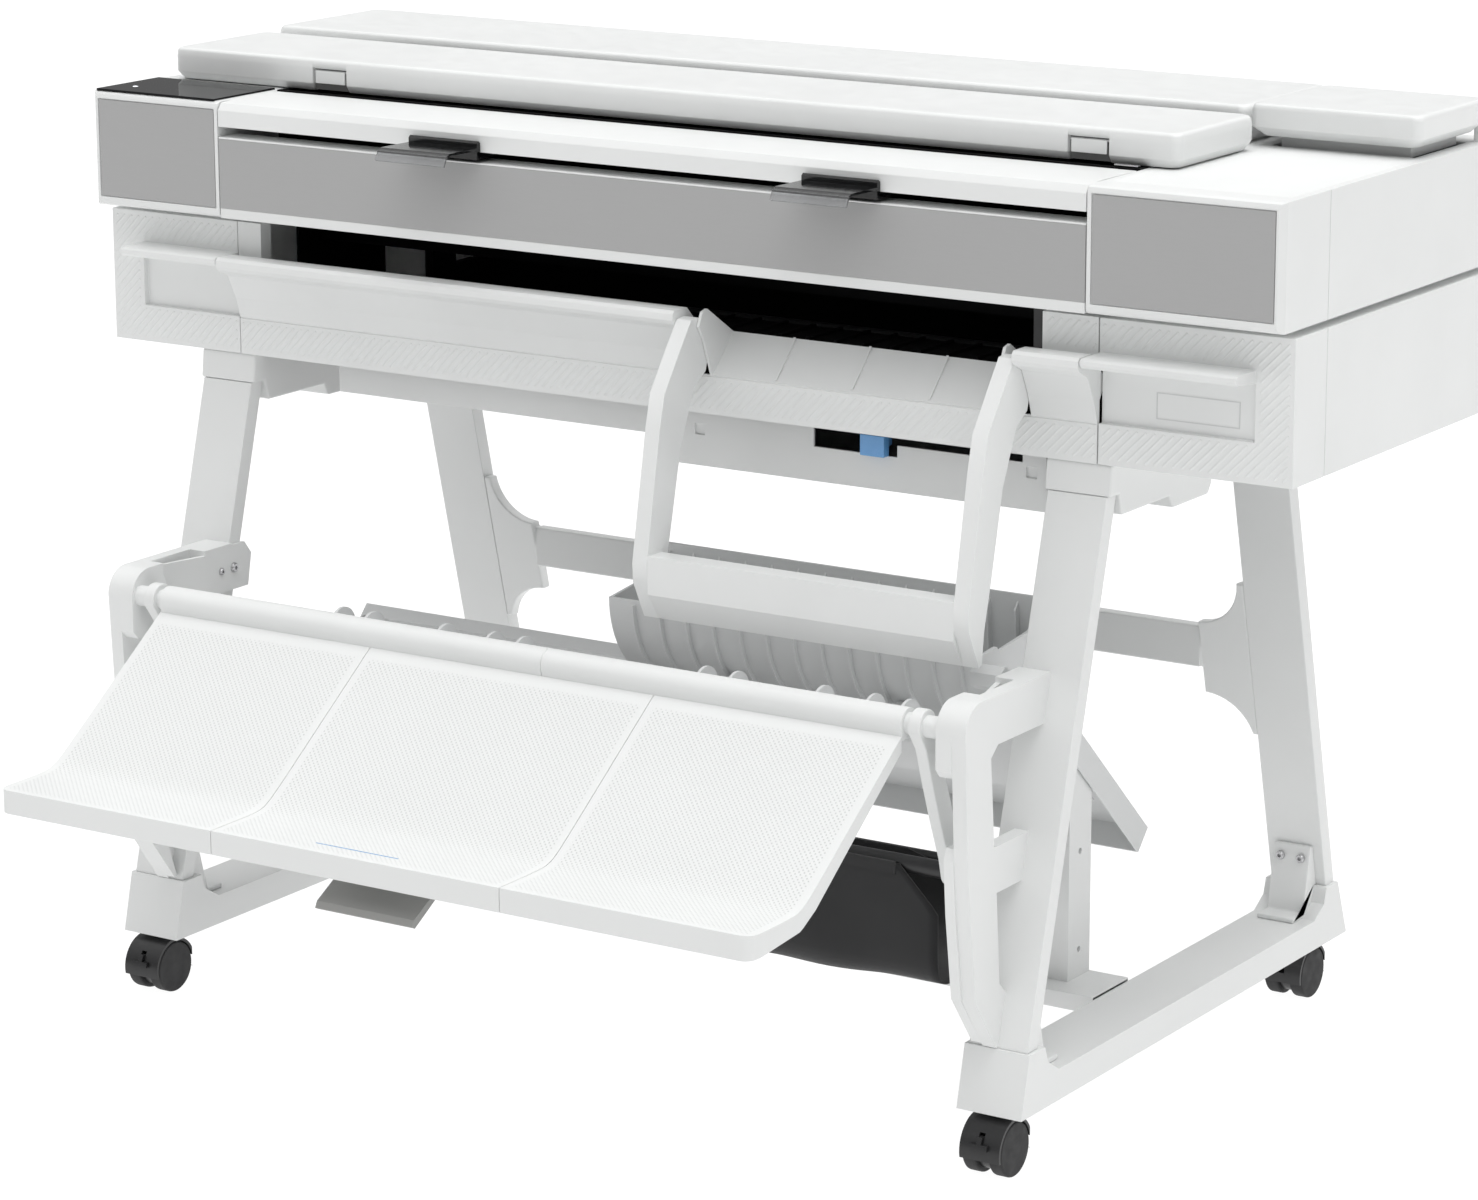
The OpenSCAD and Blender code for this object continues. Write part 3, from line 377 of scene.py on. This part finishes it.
def piece(name, verts, faces, body, material, slot, smooth=False, bevel=0):
    """One Blender mesh that rides on a body."""
    mesh = bpy.data.meshes.new(name)
    mesh.from_pydata([tuple(v) for v in verts], [], faces)
    mesh.validate()
    mesh.update()
    mesh.materials.append(material)
    for p in mesh.polygons:
        p.use_smooth = smooth
    ob = bpy.data.objects.new(name, mesh)
    scene.collection.objects.link(ob)
    if bevel:
        soften(ob, bevel)
    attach(ob, body)
    return ob


def runs(c, x0, x1, z0, z1, holes):
    """Stretches of the line z = x - c that lie in the rectangle and outside its holes, as ranges of x."""
    spans = [(max(x0, z0 + c), min(x1, z1 + c))]
    for hx0, hx1, hz0, hz1 in holes:
        a, b = max(hx0, hz0 + c), min(hx1, hz1 + c)
        if a < b:
            spans = [s for lo, hi in spans for s in ((lo, min(hi, a)), (max(lo, b), hi))]
    return [(lo, hi) for lo, hi in spans if hi - lo > 1]


def ribs(name, place, rects, pitch=9.0, width=4.2, height=0.6):
    """Diagonal moulded ribs over rectangles [(x0, x1, z0, z1, holes)]; place(a, b, h) gives the point."""
    verts, faces = [], []
    for x0, x1, z0, z1, holes in rects:
        for i in range(int((x0 - z1) // pitch), int((x1 - z0) // pitch) + 2):
            for lo, hi in runs(i * pitch, x0, x1, z0, z1, holes):
                k, half = len(verts), width / 2 / math.sqrt(2)
                lo, hi = lo + half, hi - half
                if hi <= lo:
                    continue
                for x in (lo, hi):
                    z = x - i * pitch
                    for side, h in ((-1, -0.2), (0, height), (1, -0.2)):
                        verts.append(place(x + side * half, z - side * half, h))
                faces += [(k, k + 1, k + 4, k + 3), (k + 1, k + 2, k + 5, k + 4), (k + 2, k, k + 3, k + 5),
                          (k, k + 2, k + 1), (k + 3, k + 4, k + 5)]
    return piece(name, verts, faces, "machine", white, "white_plastic")


def on_front(a, b, h):
    """A point h above the lower front face."""
    return at(a, FRONT_LOW - h, b)


def on_deck(a, b, h):
    """A point h above the deck."""
    return at(a, b, DECK_Z + h)


ribs("ribs_low_left", on_front, [(-HALF_W + 3, SEAM_L - 2, BODY_Z + 4, LOW_TOP - 4,
                                  [(-624, SEAM_L + 20, GROOVE_Z, LEDGE_Z + 3)])])
ribs("ribs_low_right", on_front, [(SEAM_R + 2, HALF_W - 3, BODY_Z + 4, LOW_TOP - 4,
                                   [(SEAM_R - 20, 625, GROOVE_Z, LEDGE_Z + 3)])])
ribs("ribs_band", on_front, [(SEAM_L + 2, SEAM_R - 2, BODY_Z + 4, GROOVE_Z - 2, [])])
ribs("ribs_above_ledge", on_front, [(414, SEAM_R - 2, LEDGE_Z + 2, LOW_TOP - 3, [])])

# ------------------------------------------------------------------ tray


TRAY_BACK, TRAY_FRONT = -165.6, -407


def tray_line(y):
    """Height of the tray's top at Y: a straight slope that eases into a nearly flat lip."""
    ease = 26.0
    slope = (408.8 - 304.0) / (311 - 165.3)
    flat = 290.4
    rise = 304.0 + slope * (y + 311)
    d = rise - flat
    return flat + 0.5 * (d + math.sqrt(d * d + ease * 2.0)) if d > -60 else flat


def tray_skirt_line(y):
    """Height of the skirt's lower edge at Y."""
    points = ((TRAY_FRONT, 268), (-330, 275), (-306, 288), (-166, 394))
    for (ya, za), (yb, zb) in zip(points, points[1:]):
        if y <= yb:
            return za + (zb - za) * max(0, (y - ya)) / (yb - ya)
    return points[-1][1]


def tray_panel(i):
    """One of three panels: its top surface with a skirt round the ends and the front."""
    gap, corner = 0.35, 13.0
    x0 = TRAY_CUTS[i] + (gap if i else 0)
    x1 = TRAY_CUTS[i + 1] - (gap if i < 2 else 0)
    cols = sorted({x0 + corner * k / 9 for k in range(10)} | {x1 - corner * k / 9 for k in range(10)}
                  | {x0 + (x1 - x0) * k / 12 for k in range(1, 12)})
    front_left, front_right = i == 0, i == 2

    def front(x):
        inset = 0
        for wanted, d in ((front_left, x - x0), (front_right, x1 - x)):
            if wanted and d < corner:
                inset = corner - math.sqrt(corner ** 2 - (corner - d) ** 2)
        return TRAY_FRONT + inset

    rows = 44
    verts, faces = [], []
    for r in range(rows + 1):
        t = r / rows
        for x in cols:
            y = TRAY_BACK + (front(x) - TRAY_BACK) * t
            verts.append(at(x + STAND_X, y, tray_line(y)))
    n = len(cols)
    for r in range(rows):
        for c in range(n - 1):
            a = r * n + c
            faces.append((a, a + n, a + n + 1, a + 1))
    # Skirt round the two ends and the front.
    rim = [r * n for r in range(rows + 1)] + [rows * n + c for c in range(1, n)]
    rim += [r * n + n - 1 for r in range(rows - 1, -1, -1)]
    base = len(verts)
    for k in rim:
        x, y, _ = verts[k]
        yc = y / MM - FASCIA_Y
        verts.append(Vector((x, y, tray_skirt_line(yc) * MM)))
    for k in range(len(rim) - 1):
        faces.append((rim[k], base + k, base + k + 1, rim[k + 1]))
    ob = piece(f"tray_panel_{i + 1}", verts, faces, "output_tray", tray_white, "white_plastic", smooth=True)
    skin(ob, 2.6)
    round_edges(ob, 2.0, 50)
    return ob


trays = [tray_panel(i) for i in range(3)]


def ring(centre, axis, radii):
    """Points round an axis, one for each radius."""
    side = axis.orthogonal().normalized()
    other = axis.cross(side)
    turns = [2 * math.pi * k / len(radii) for k in range(len(radii))]
    return [centre + side * (r * math.cos(t)) + other * (r * math.sin(t)) for r, t in zip(radii, turns)]


def bands(count, n):
    """Faces of the bands between count + 1 closed rings of n points."""
    return [(r * n + k, r * n + (k + 1) % n, (r + 1) * n + (k + 1) % n, (r + 1) * n + k)
            for r in range(count) for k in range(n)]


def rod_mesh(name, a, b, radius, body, material, slot, sides=32):
    """Round bar between two points, with a small chamfer at each end."""
    axis = (b - a).normalized()
    c = min(radius * 0.25, 0.0008)
    stations = [(a, radius - c), (a + axis * c, radius), (b - axis * c, radius), (b, radius - c)]
    verts = [v for p, r in stations for v in ring(p, axis, [r] * sides)]
    faces = bands(3, sides)
    faces.append(tuple(range(sides - 1, -1, -1)))
    faces.append(tuple(range(3 * sides, 4 * sides)))
    return piece(name, verts, faces, body, material, slot)


def box_verts(lo, hi):
    verts = [Vector((x, y, z)) for x in (lo[0], hi[0]) for y in (lo[1], hi[1]) for z in (lo[2], hi[2])]
    faces = [(0, 1, 3, 2), (4, 6, 7, 5), (0, 4, 5, 1), (2, 3, 7, 6), (0, 2, 6, 4), (1, 5, 7, 3)]
    return verts, faces


def slab(name, lo, hi, body, material, slot, bevel=0.4):
    """A small chamfered block between two corners in millimetres."""
    return piece(name, *box_verts(at(*lo), at(*hi)), body, material, slot, bevel=bevel)


# Lugs under the middle panel that hold the flap, each with its pivot.
FLAP_PIN = (-337, 270)
for s, x in (("left", STAND_X - 66), ("right", STAND_X + 58)):
    slab("flap_lug_" + s, (x, -346, 264), (x + 8, -328, 287.5), "output_tray", black, "black_plastic", 1.5)
    rod_mesh("flap_pivot_" + s, at(x - 3, *FLAP_PIN), at(x + 11, *FLAP_PIN), 0.0055, "output_tray", black,
             "black_plastic")
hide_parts("tray_panels")

# Pale blue line near the front edge of the middle panel.
line_verts, line_faces = [], []
for k in range(13):
    x = -60 + 92 * k / 12
    for y in (-386.4, -384.8):
        line_verts.append(at(x + STAND_X, y, tray_line(y) + 0.12))
    if k:
        line_faces.append((2 * k - 2, 2 * k, 2 * k + 1, 2 * k - 1))
piece("tray_line", line_verts, line_faces, "output_tray", blue, "blue_plastic")

# -------------------------------------------------------------------- bin

PROFILE = [(-108, 272), (-108, 172), (-100, 161), (20, 155), (55, 164), (73, 187), (73, 224)]


def along(points, step):
    """Points every step millimetres along a polyline with its corners cut."""
    out = []
    for (ya, za), (yb, zb) in zip(points, points[1:]):
        n = max(1, round(math.hypot(yb - ya, zb - za) / step))
        out += [(ya + (yb - ya) * k / n, za + (zb - za) * k / n) for k in range(n)]
    out.append(points[-1])
    for _ in range(3):
        out = [out[0]] + [((a[0] + 2 * b[0] + c[0]) / 4, (a[1] + 2 * b[1] + c[1]) / 4)
                          for a, b, c in zip(out, out[1:], out[2:])] + [out[-1]]
    return out


def bin_cloth():
    """Hanging sheet with waves along it, its four corners cut off, and a hem."""
    half, corner, rear_taper = 421.0, 40.0, 3.5
    line = along(PROFILE, 8)
    count = 84
    lengths = [0]
    for a, b in zip(line, line[1:]):
        lengths.append(lengths[-1] + math.hypot(b[0] - a[0], b[1] - a[1]))
    verts, faces = [], []
    for r, (y, z) in enumerate(line):
        a, b = line[max(0, r - 1)], line[min(len(line) - 1, r + 1)]
        t = Vector((b[0] - a[0], b[1] - a[1])).normalized()
        s = lengths[r]
        for c in range(count + 1):
            x = -half + 2 * half * c / count
            if s < corner:
                x *= (half - (corner - s)) / half
            if s > lengths[-1] - corner:
                x *= (half - rear_taper * (s - lengths[-1] + corner)) / half
            free = math.sin(math.pi * min(1, s / lengths[-1]))
            wave = 1.5 * math.sin(x / 47 + s / 60) + 0.9 * math.sin(x / 19 - s / 35 + 1.3)
            sag = -4.0 * free * (1 - (x / half) ** 2) * (1 if 110 < s < 270 else 0.3)
            off = wave * free
            verts.append(at(x + STAND_X, y + t.y * off, z - t.x * off + sag * abs(t.x)))
    n = count + 1
    for r in range(len(line) - 1):
        for c in range(count):
            k = r * n + c
            faces.append((k, k + 1, k + n + 1, k + n))
    ob = piece("bin_fabric", verts, faces, "machine", cloth_black, "cloth", smooth=True)
    skin(ob, 0.9, 0)
    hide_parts("bin_cloth")
    # Hem: a doubled strip along the front's top edge.
    hem_v, hem_f = [], []
    for c in range(61):
        x = (-half + corner + 4) + 2 * (half - corner - 4) * c / 60
        for y, z in ((-109.6, 273.5), (-109.6, 262), (-106.9, 262), (-106.9, 273.5)):
            hem_v.append(at(x + STAND_X, y + 0.25 * math.sin(x / 23), z))
        if c:
            for k in range(4):
                a, b = (c - 1) * 4 + k, (c - 1) * 4 + (k + 1) % 4
                hem_f.append((a, b, b + 4, a + 4))
    hem_f += [(0, 3, 2, 1), tuple(240 + k for k in range(4))]
    hem = piece("bin_hem", hem_v, hem_f, "machine", cloth_black, "cloth")


bin_cloth()

ROD_Y, ROD_Z, BAR_Y, BAR_Z, REAR_BAR_Y, REAR_BAR_Z = -153, 418, -98, 270, 82, 216


def plate(name, outline, x0, x1, body, material, slot, bevel=0.0):
    """An outline drawn as [Y, Z], run along X."""
    verts, faces = [], []
    n = len(outline)
    for x in (x0, x1):
        verts += [at(x, y, z) for y, z in outline]
    faces.append(tuple(range(n)))
    faces.append(tuple(range(2 * n - 1, n - 1, -1)))
    for k in range(n):
        k2 = (k + 1) % n
        faces.append((k, n + k, n + k2, k2))
    return piece(name, verts, faces, body, material, slot, bevel=bevel)


def strut(name, x):
    """Hanger of the bin: an eye round the tray's rod, a bowed arm and an eye round the bar."""
    outline = []
    length = math.hypot(BAR_Y - ROD_Y, BAR_Z - ROD_Z)
    ty, tz = (BAR_Y - ROD_Y) / length, (BAR_Z - ROD_Z) / length
    start = math.atan2(tz, ty)
    for k in range(19):
        t = start + math.pi / 2 + math.pi * k / 18
        outline.append((ROD_Y + 15 * math.cos(t), ROD_Z + 15 * math.sin(t)))
    for k in range(1, 8):
        f = k / 8
        width = 9.5 + 2 * math.sin(math.pi * f) - 0.5
        outline.append((ROD_Y + ty * length * f + tz * width, ROD_Z + tz * length * f - ty * width))
    for k in range(15):
        t = start - math.pi / 2 + math.pi * k / 14
        outline.append((BAR_Y + 12 * math.cos(t), BAR_Z + 12 * math.sin(t)))
    for k in range(7, 0, -1):
        f = k / 8
        width = 9.5 + 2 * math.sin(math.pi * f)
        outline.append((ROD_Y + ty * length * f - tz * width, ROD_Z + tz * length * f + ty * width))
    return plate(name, outline, x - 6, x + 6, "machine", white, "white_plastic", bevel=1.5)


front_bar = rod_mesh("bin_front_bar", at(STAND_X - 436, BAR_Y, BAR_Z), at(STAND_X + 436, BAR_Y, BAR_Z), 0.008,
                     "machine", black, "black_plastic")
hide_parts("bin_frame")
rod_mesh("bin_rear_bar", at(STAND_X - 391, REAR_BAR_Y, REAR_BAR_Z), at(STAND_X + 391, REAR_BAR_Y, REAR_BAR_Z),
         0.006, "machine", black, "black_plastic")
for side, s in ((-1, "left"), (1, "right")):
    strut("bin_strut_" + s, STAND_X + side * 430)
    slab("bin_arm_" + s, (STAND_X + side * 388 - 3, REAR_BAR_Y, REAR_BAR_Z - 5),
         (STAND_X + side * 388 + 3, 157, REAR_BAR_Z + 5), "machine", white, "white_plastic", 1.0)

# ---------------------------------------------------------------- covers


def plan(x0, x1, y0, y1, radius, extra_front, extra_rear, extra_sides):
    """Rounded rectangle seen from above, with more points along its edges."""
    points = []
    for cx, cy, start in ((x0 + radius, y0 + radius, 180), (x1 - radius, y0 + radius, 270),
                          (x1 - radius, y1 - radius, 0), (x0 + radius, y1 - radius, 90)):
        arc = [math.radians(start + 90 * k / 8) for k in range(9)]
        points += [(cx + radius * math.cos(t), cy + radius * math.sin(t)) for t in arc]
        if start == 180:
            points += [(x, y0) for x in sorted(extra_front)]
        if start == 270:
            points += [(x1, y) for y in sorted(extra_sides)]
        if start == 0:
            points += [(x, y1) for x in sorted(extra_rear, reverse=True)]
        if start == 90:
            points += [(x0, y) for y in sorted(extra_sides, reverse=True)]
    return points


def drawn_in(p, centre, reach, inset):
    """A coordinate moved towards the centre by the inset, and by less near the middle."""
    return p + (inset if p < centre else -inset) * min(1, abs(p - centre) / reach)


def hood(name, x, y, levels, body, radius=9.0, lift=None, notches=(), notch_top=0, pockets=()):
    """A thin cover, open below: the rounded rectangle x by y, drawn in by levels [(z, inset)].

    lift (from_y, by) raises the lower edge behind a line; a third value (x0, x1) keeps the middle
    down. notches [(x0, x1)] are cut up to notch_top in the rear wall, and pockets
    (x0, x1, top, depth) are pressed into the front wall.
    """
    step = 0.02
    front = [v for p in pockets for v in (p[0] - step, p[0], p[1], p[1] + step)]
    rear = [v for a, b in notches for v in (a - step, a, b, b + step)]
    keep = lift[2] if lift and len(lift) > 2 else None
    if keep:
        rear += [keep[0], keep[0] + step, keep[1] - step, keep[1]]
    sides = [lift[0], lift[0] + step] if lift and lift[0] < y[1] - radius else []
    outline = plan(x[0], x[1], y[0], y[1], radius, front, rear, sides)
    mid_x, mid_y = (x[0] + x[1]) / 2, (y[0] + y[1]) / 2
    reach_x, reach_y = x[1] - mid_x - radius, y[1] - mid_y - radius
    verts = []
    for k, (z, inset) in enumerate(levels):
        for px, py in outline:
            qx, qy = drawn_in(px, mid_x, reach_x, inset), drawn_in(py, mid_y, reach_y, inset)
            if any(a <= px <= b for a, b in notches) or min(abs(px - x[0]), abs(px - x[1])) > radius:
                qx = px
            if min(abs(py - y[0]), abs(py - y[1])) > radius:
                qy = py
            qz = z
            lifted = lift and py > lift[0] and not (keep and keep[0] < px < keep[1])
            if lifted and z < levels[0][0] + lift[1]:
                qz = levels[0][0] + lift[1] + 0.4 * k
            if py == y[1] and any(a <= px <= b for a, b in notches):
                qz = max(qz, notch_top + 0.1 * k)
            for a, b, top, depth in pockets:
                if py == y[0] and a <= px <= b and z <= top:
                    qy += depth
            verts.append(at(qx, qy, qz))
    n = len(outline)
    faces = bands(len(levels) - 1, n)
    faces.append(tuple((len(levels) - 1) * n + k for k in range(n)))
    ob = piece(name, verts, faces, body, white_fine, "white_plastic", smooth=True)
    skin(ob, 2.4)
    ob.modifiers.new("normal", "WEIGHTED_NORMAL").weight = 90
    return ob


def lug(name, x, axis, top, body):
    """Hinge lug under a cover: a strap with a round end about the pin."""
    y, z = axis
    outline = [(y + 1.5, top), (y - 6.5, top)]
    outline += [(y + 6.5 * math.cos(t), z + 6.5 * math.sin(t))
                for t in (math.radians(180 + 15 * k) for k in range(13))]
    outline.append((y + 1.5, z + 6.4))
    return plate(name, outline, x, x + 10, body, white_fine, "white_plastic")


LATCH_X, LATCH_W = (-464, 388), 42
LUG_NOTCHES = [(-482, -460), (428, 450)]
lid = hood("lid_shell", (-640, 500), (107, 254),
           [(880.6, 4.8), (887.4, 0.3), (888.2, 0), (902, 0), (903.4, 0), (908.6, 0.5), (910.9, 2.0),
            (912, 5.0)], "lid", lift=(246, 8), notches=LUG_NOTCHES, notch_top=902,
           pockets=[(x, x + LATCH_W, 902.5, 4.6) for x in LATCH_X])
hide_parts("scanner_lid")
rolls = hood("roll_cover_shell", (-645, 478), (280, 449),
             [(880.6, 4.5), (888, 0.3), (889, 0), (908, 0), (912, 0.9), (914.2, 2.6), (915, 6)], "roll_lid",
             lift=(425, 12), notches=LUG_NOTCHES, notch_top=902)
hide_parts("roll_cover")
inks = hood("ink_cover_shell", (484, 655), (272, 422),
             [(889, 9.0), (897.2, 0.4), (898, 0), (913, 0), (916.6, 0.9), (918.4, 2.4), (919, 5.5)],
             "ink_lid", lift=(399, 20, (502, 630)))
slab("ink_cover_plinth", (505, 297, 877), (635, 393, 890.5), "ink_lid", white_fine, "white_plastic", 1.0)
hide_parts("ink_cover")
LID_PIN, ROLL_PIN, INK_PIN = (246, 892), (434, 896), (412, 899)
for k, x in enumerate((-472, 438)):
    lug(f"lid_lug_{k}", x, LID_PIN, 909.6, "lid")
    lug(f"roll_lug_{k}", x, ROLL_PIN, 912.8, "roll_lid")
for k, x in enumerate((488, 634)):
    lug(f"ink_lug_{k}", x, INK_PIN, 916.2, "ink_lid")
for k, x in enumerate(LATCH_X):
    slab(f"latch_tab_{k}", (x + 3, 107.7, 888), (x + LATCH_W - 3, 109.8, 900.4), "latches",
                     white_fine, "white_plastic", 0.5)
    # Dark sheet at the back of each pocket: painted shade in the gap round the tab.
    slab(f"latch_shade_lining_{k}", (x + 0.3, 111.3, 881.5), (x + LATCH_W - 0.3, 111.55, 901.9), "lid", painted_shade_liner,
         "grey_panel", 0.05)
    rod_mesh(f"latch_pin_{k}", at(x + 1, 110, 900), at(x + LATCH_W - 1, 110, 900), 0.0012, "latches", steel,
             "steel")
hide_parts("lid_latches")

# Rear panel over the chassis, with two rows of vent slots drawn as thin dark patches: painted shade of the
# openings.
slab("rear_panel", (SEAM_L + 2, 445.3, BODY_Z + 2), (SEAM_R - 2, 446.9, 874), "machine", white,
     "white_plastic", 0.5)
for row in range(2):
    for k in range(14):
        x, z = -330 + 46 * k, 660 + 12 * row
        slab(f"vent_{row}_{k}", (x, 446.7, z), (x + 34, 447.05, z + 4), "machine", dull_black_and_painted_shade,
             "black_plastic", 0.1)

# ------------------------------------------------------------------ bolts


def bolt(name, centre, axis, radius, height, body="machine"):
    """Pan-head screw with a hexagon socket."""
    axis = Vector(axis)
    sides = 36
    head = [(radius, 0), (radius, height * 0.45), (radius * 0.93, height * 0.78), (radius * 0.78, height),
            (radius * 0.56, height)]
    turns = [2 * math.pi * k / sides for k in range(sides)]
    flat = radius * 0.48 * math.cos(math.pi / 6)
    socket = [flat / math.cos((t % (math.pi / 3)) - math.pi / 6) for t in turns]
    rings = [([r] * sides, h) for r, h in head] + [(socket, height), (socket, height * 0.25)]
    verts = [v for radii, h in rings for v in ring(centre + axis * h, axis, radii)]
    faces = bands(len(rings) - 1, sides)
    last = (len(rings) - 1) * sides
    faces.append(tuple(last + k for k in range(sides)))
    faces.append(tuple(range(sides - 1, -1, -1)))
    return piece(name, verts, faces, body, steel, "steel")


REAR_PAD_Y, FRONT_PAD_Y, PAD_Z = 472.4, -66.6, 146
FOOT_MID = 482
PAD_SCREW = (0.0045, 0.0042)
for s, side in (("l", -1), ("r", 1)):
    for k, dx in enumerate((-11, 11)):
        x = STAND_X + side * (FOOT_MID + dx)
        bolt(f"screw_rear_{s}{k}", at(x, REAR_PAD_Y - 0.2, PAD_Z), (0, -1, 0), *PAD_SCREW)
        bolt(f"screw_front_{s}{k}", at(x, FRONT_PAD_Y + 0.2, PAD_Z), (0, 1, 0), *PAD_SCREW)
    for k, (y, r) in enumerate(((-34, 3.5), (-14, 5))):
        x = STAND_X + side * 448.5
        bolt(f"screw_plate_{s}{k}", at(x, y, 418), (-side, 0, 0), r * MM, 0.003)
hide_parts("stand_bolts")

# --------------------------------------------------------- small features

# Indicator lamp on the control panel.
rod_mesh("panel_lamp", at(-630, 34, 880.4), at(-630, 34, 881.3), 0.0028, "machine", glow, "black_gloss")

# Fine moulded ribs on the deck, beside and behind the scanner lid.
ribs("ribs_deck_right", on_deck, [(SEAM_R + 6, HALF_W - 8, 28, 286, [])], pitch=5.2, width=2.6, height=0.22)
ribs("ribs_deck_left", on_deck, [(-HALF_W + 8, SEAM_L - 6, 104, 276, [])], pitch=5.2, width=2.6, height=0.22)
slab("slot_contact", (440, 98, 881), (464, 103, 882.2), "machine", steel, "steel", 0.2)

# Blank plate outline in the right recess, drawn in the white darkened as painted shade for the seam round the
# plate.
plate_v, plate_f = [], []
X0, X1, Z0, Z1, LINE = 522, 604, 672, 696, 0.9
for (xa, xb, za, zb) in ((X0, X1, Z0, Z0 + LINE), (X0, X1, Z1 - LINE, Z1),
                         (X0, X0 + LINE, Z0 + LINE, Z1 - LINE), (X1 - LINE, X1, Z0 + LINE, Z1 - LINE)):
    v, f = box_verts(at(xa, FRONT_LOW + 5.6, za), at(xb, FRONT_LOW + 6.2, zb))
    plate_f += [tuple(len(plate_v) + i for i in q) for q in f]
    plate_v += v
piece("plate_outline", plate_v, plate_f, "machine", painted_shade_white, "shade_plastic")

# ------------------------------------------------------ floor, light, camera

FLOOR = 60
floor_mesh = bpy.data.meshes.new("floor")
floor_mesh.from_pydata([(x * FLOOR, y * FLOOR, 0) for x, y in ((-1, -1), (1, -1), (1, 1), (-1, 1))], [],
                       [(0, 1, 2, 3)])
floor = bpy.data.objects.new("floor", floor_mesh)
scene.collection.objects.link(floor)
paper = Nodes("floor_paper")
paper_base = paper.blend(paper.noise(3, 3), (0.10, 0.10, 0.10), (0.12, 0.12, 0.12))
floor_mesh.materials.append(paper.done(paper_base, 0.9, Emission_Color=(1, 1, 1, 1), Emission_Strength=0.97))

# A white studio that is dim at the horizon and bright overhead.
HORIZON, ZENITH = 0.10, 1.24
world = bpy.data.worlds.new("studio")
scene.world = world
world.use_nodes = True
world.node_tree.nodes["Background"].inputs[0].default_value = (1, 1, 1, 1)
sky = world.node_tree
up_axis = sky.nodes.new("ShaderNodeSeparateXYZ")
sky.links.new(sky.nodes.new("ShaderNodeTexCoord").outputs["Generated"], up_axis.inputs[0])
level = sky.nodes.new("ShaderNodeMapRange")
for k, value in enumerate((0, 1, HORIZON, ZENITH), 1):
    level.inputs[k].default_value = value
sky.links.new(up_axis.outputs[2], level.inputs[0])
sky.links.new(level.outputs[0], sky.nodes["Background"].inputs[1])


def sun(name, direction, strength, angle):
    """Directional light that travels along the direction; a wide angle makes its shadows soft."""
    data = bpy.data.lights.new(name, "SUN")
    data.energy = strength
    data.angle = math.radians(angle)
    ob = bpy.data.objects.new(name, data)
    ob.rotation_euler = Vector(direction).to_track_quat("-Z", "Y").to_euler()
    scene.collection.objects.link(ob)


sun("key", (-0.4, 0.35, -0.8), 0.40, 35)
sun("top", (-0.15, -0.1, -1.0), 1.0, 50)

cam = bpy.data.cameras.new("camera")
cam.sensor_width = 36
cam.lens = 116.72696
cam.clip_start, cam.clip_end = 0.05, 200
camera = bpy.data.objects.new("camera", cam)
camera.location = (2.45902, -3.67998, 1.53079)
YAW, PITCH, ROLL = 0.576629, 0.243203, -0.002779
look = Vector((-math.sin(YAW) * math.cos(PITCH), math.cos(YAW) * math.cos(PITCH), -math.sin(PITCH)))
right = Vector((math.cos(YAW), math.sin(YAW), 0))
up = right.cross(look)
r2 = right * math.cos(ROLL) + up * math.sin(ROLL)
u2 = up * math.cos(ROLL) - right * math.sin(ROLL)
camera.rotation_euler = Matrix((r2, u2, -look)).transposed().to_euler()
scene.collection.objects.link(camera)
scene.camera = camera
scene.view_settings.view_transform = "Standard"
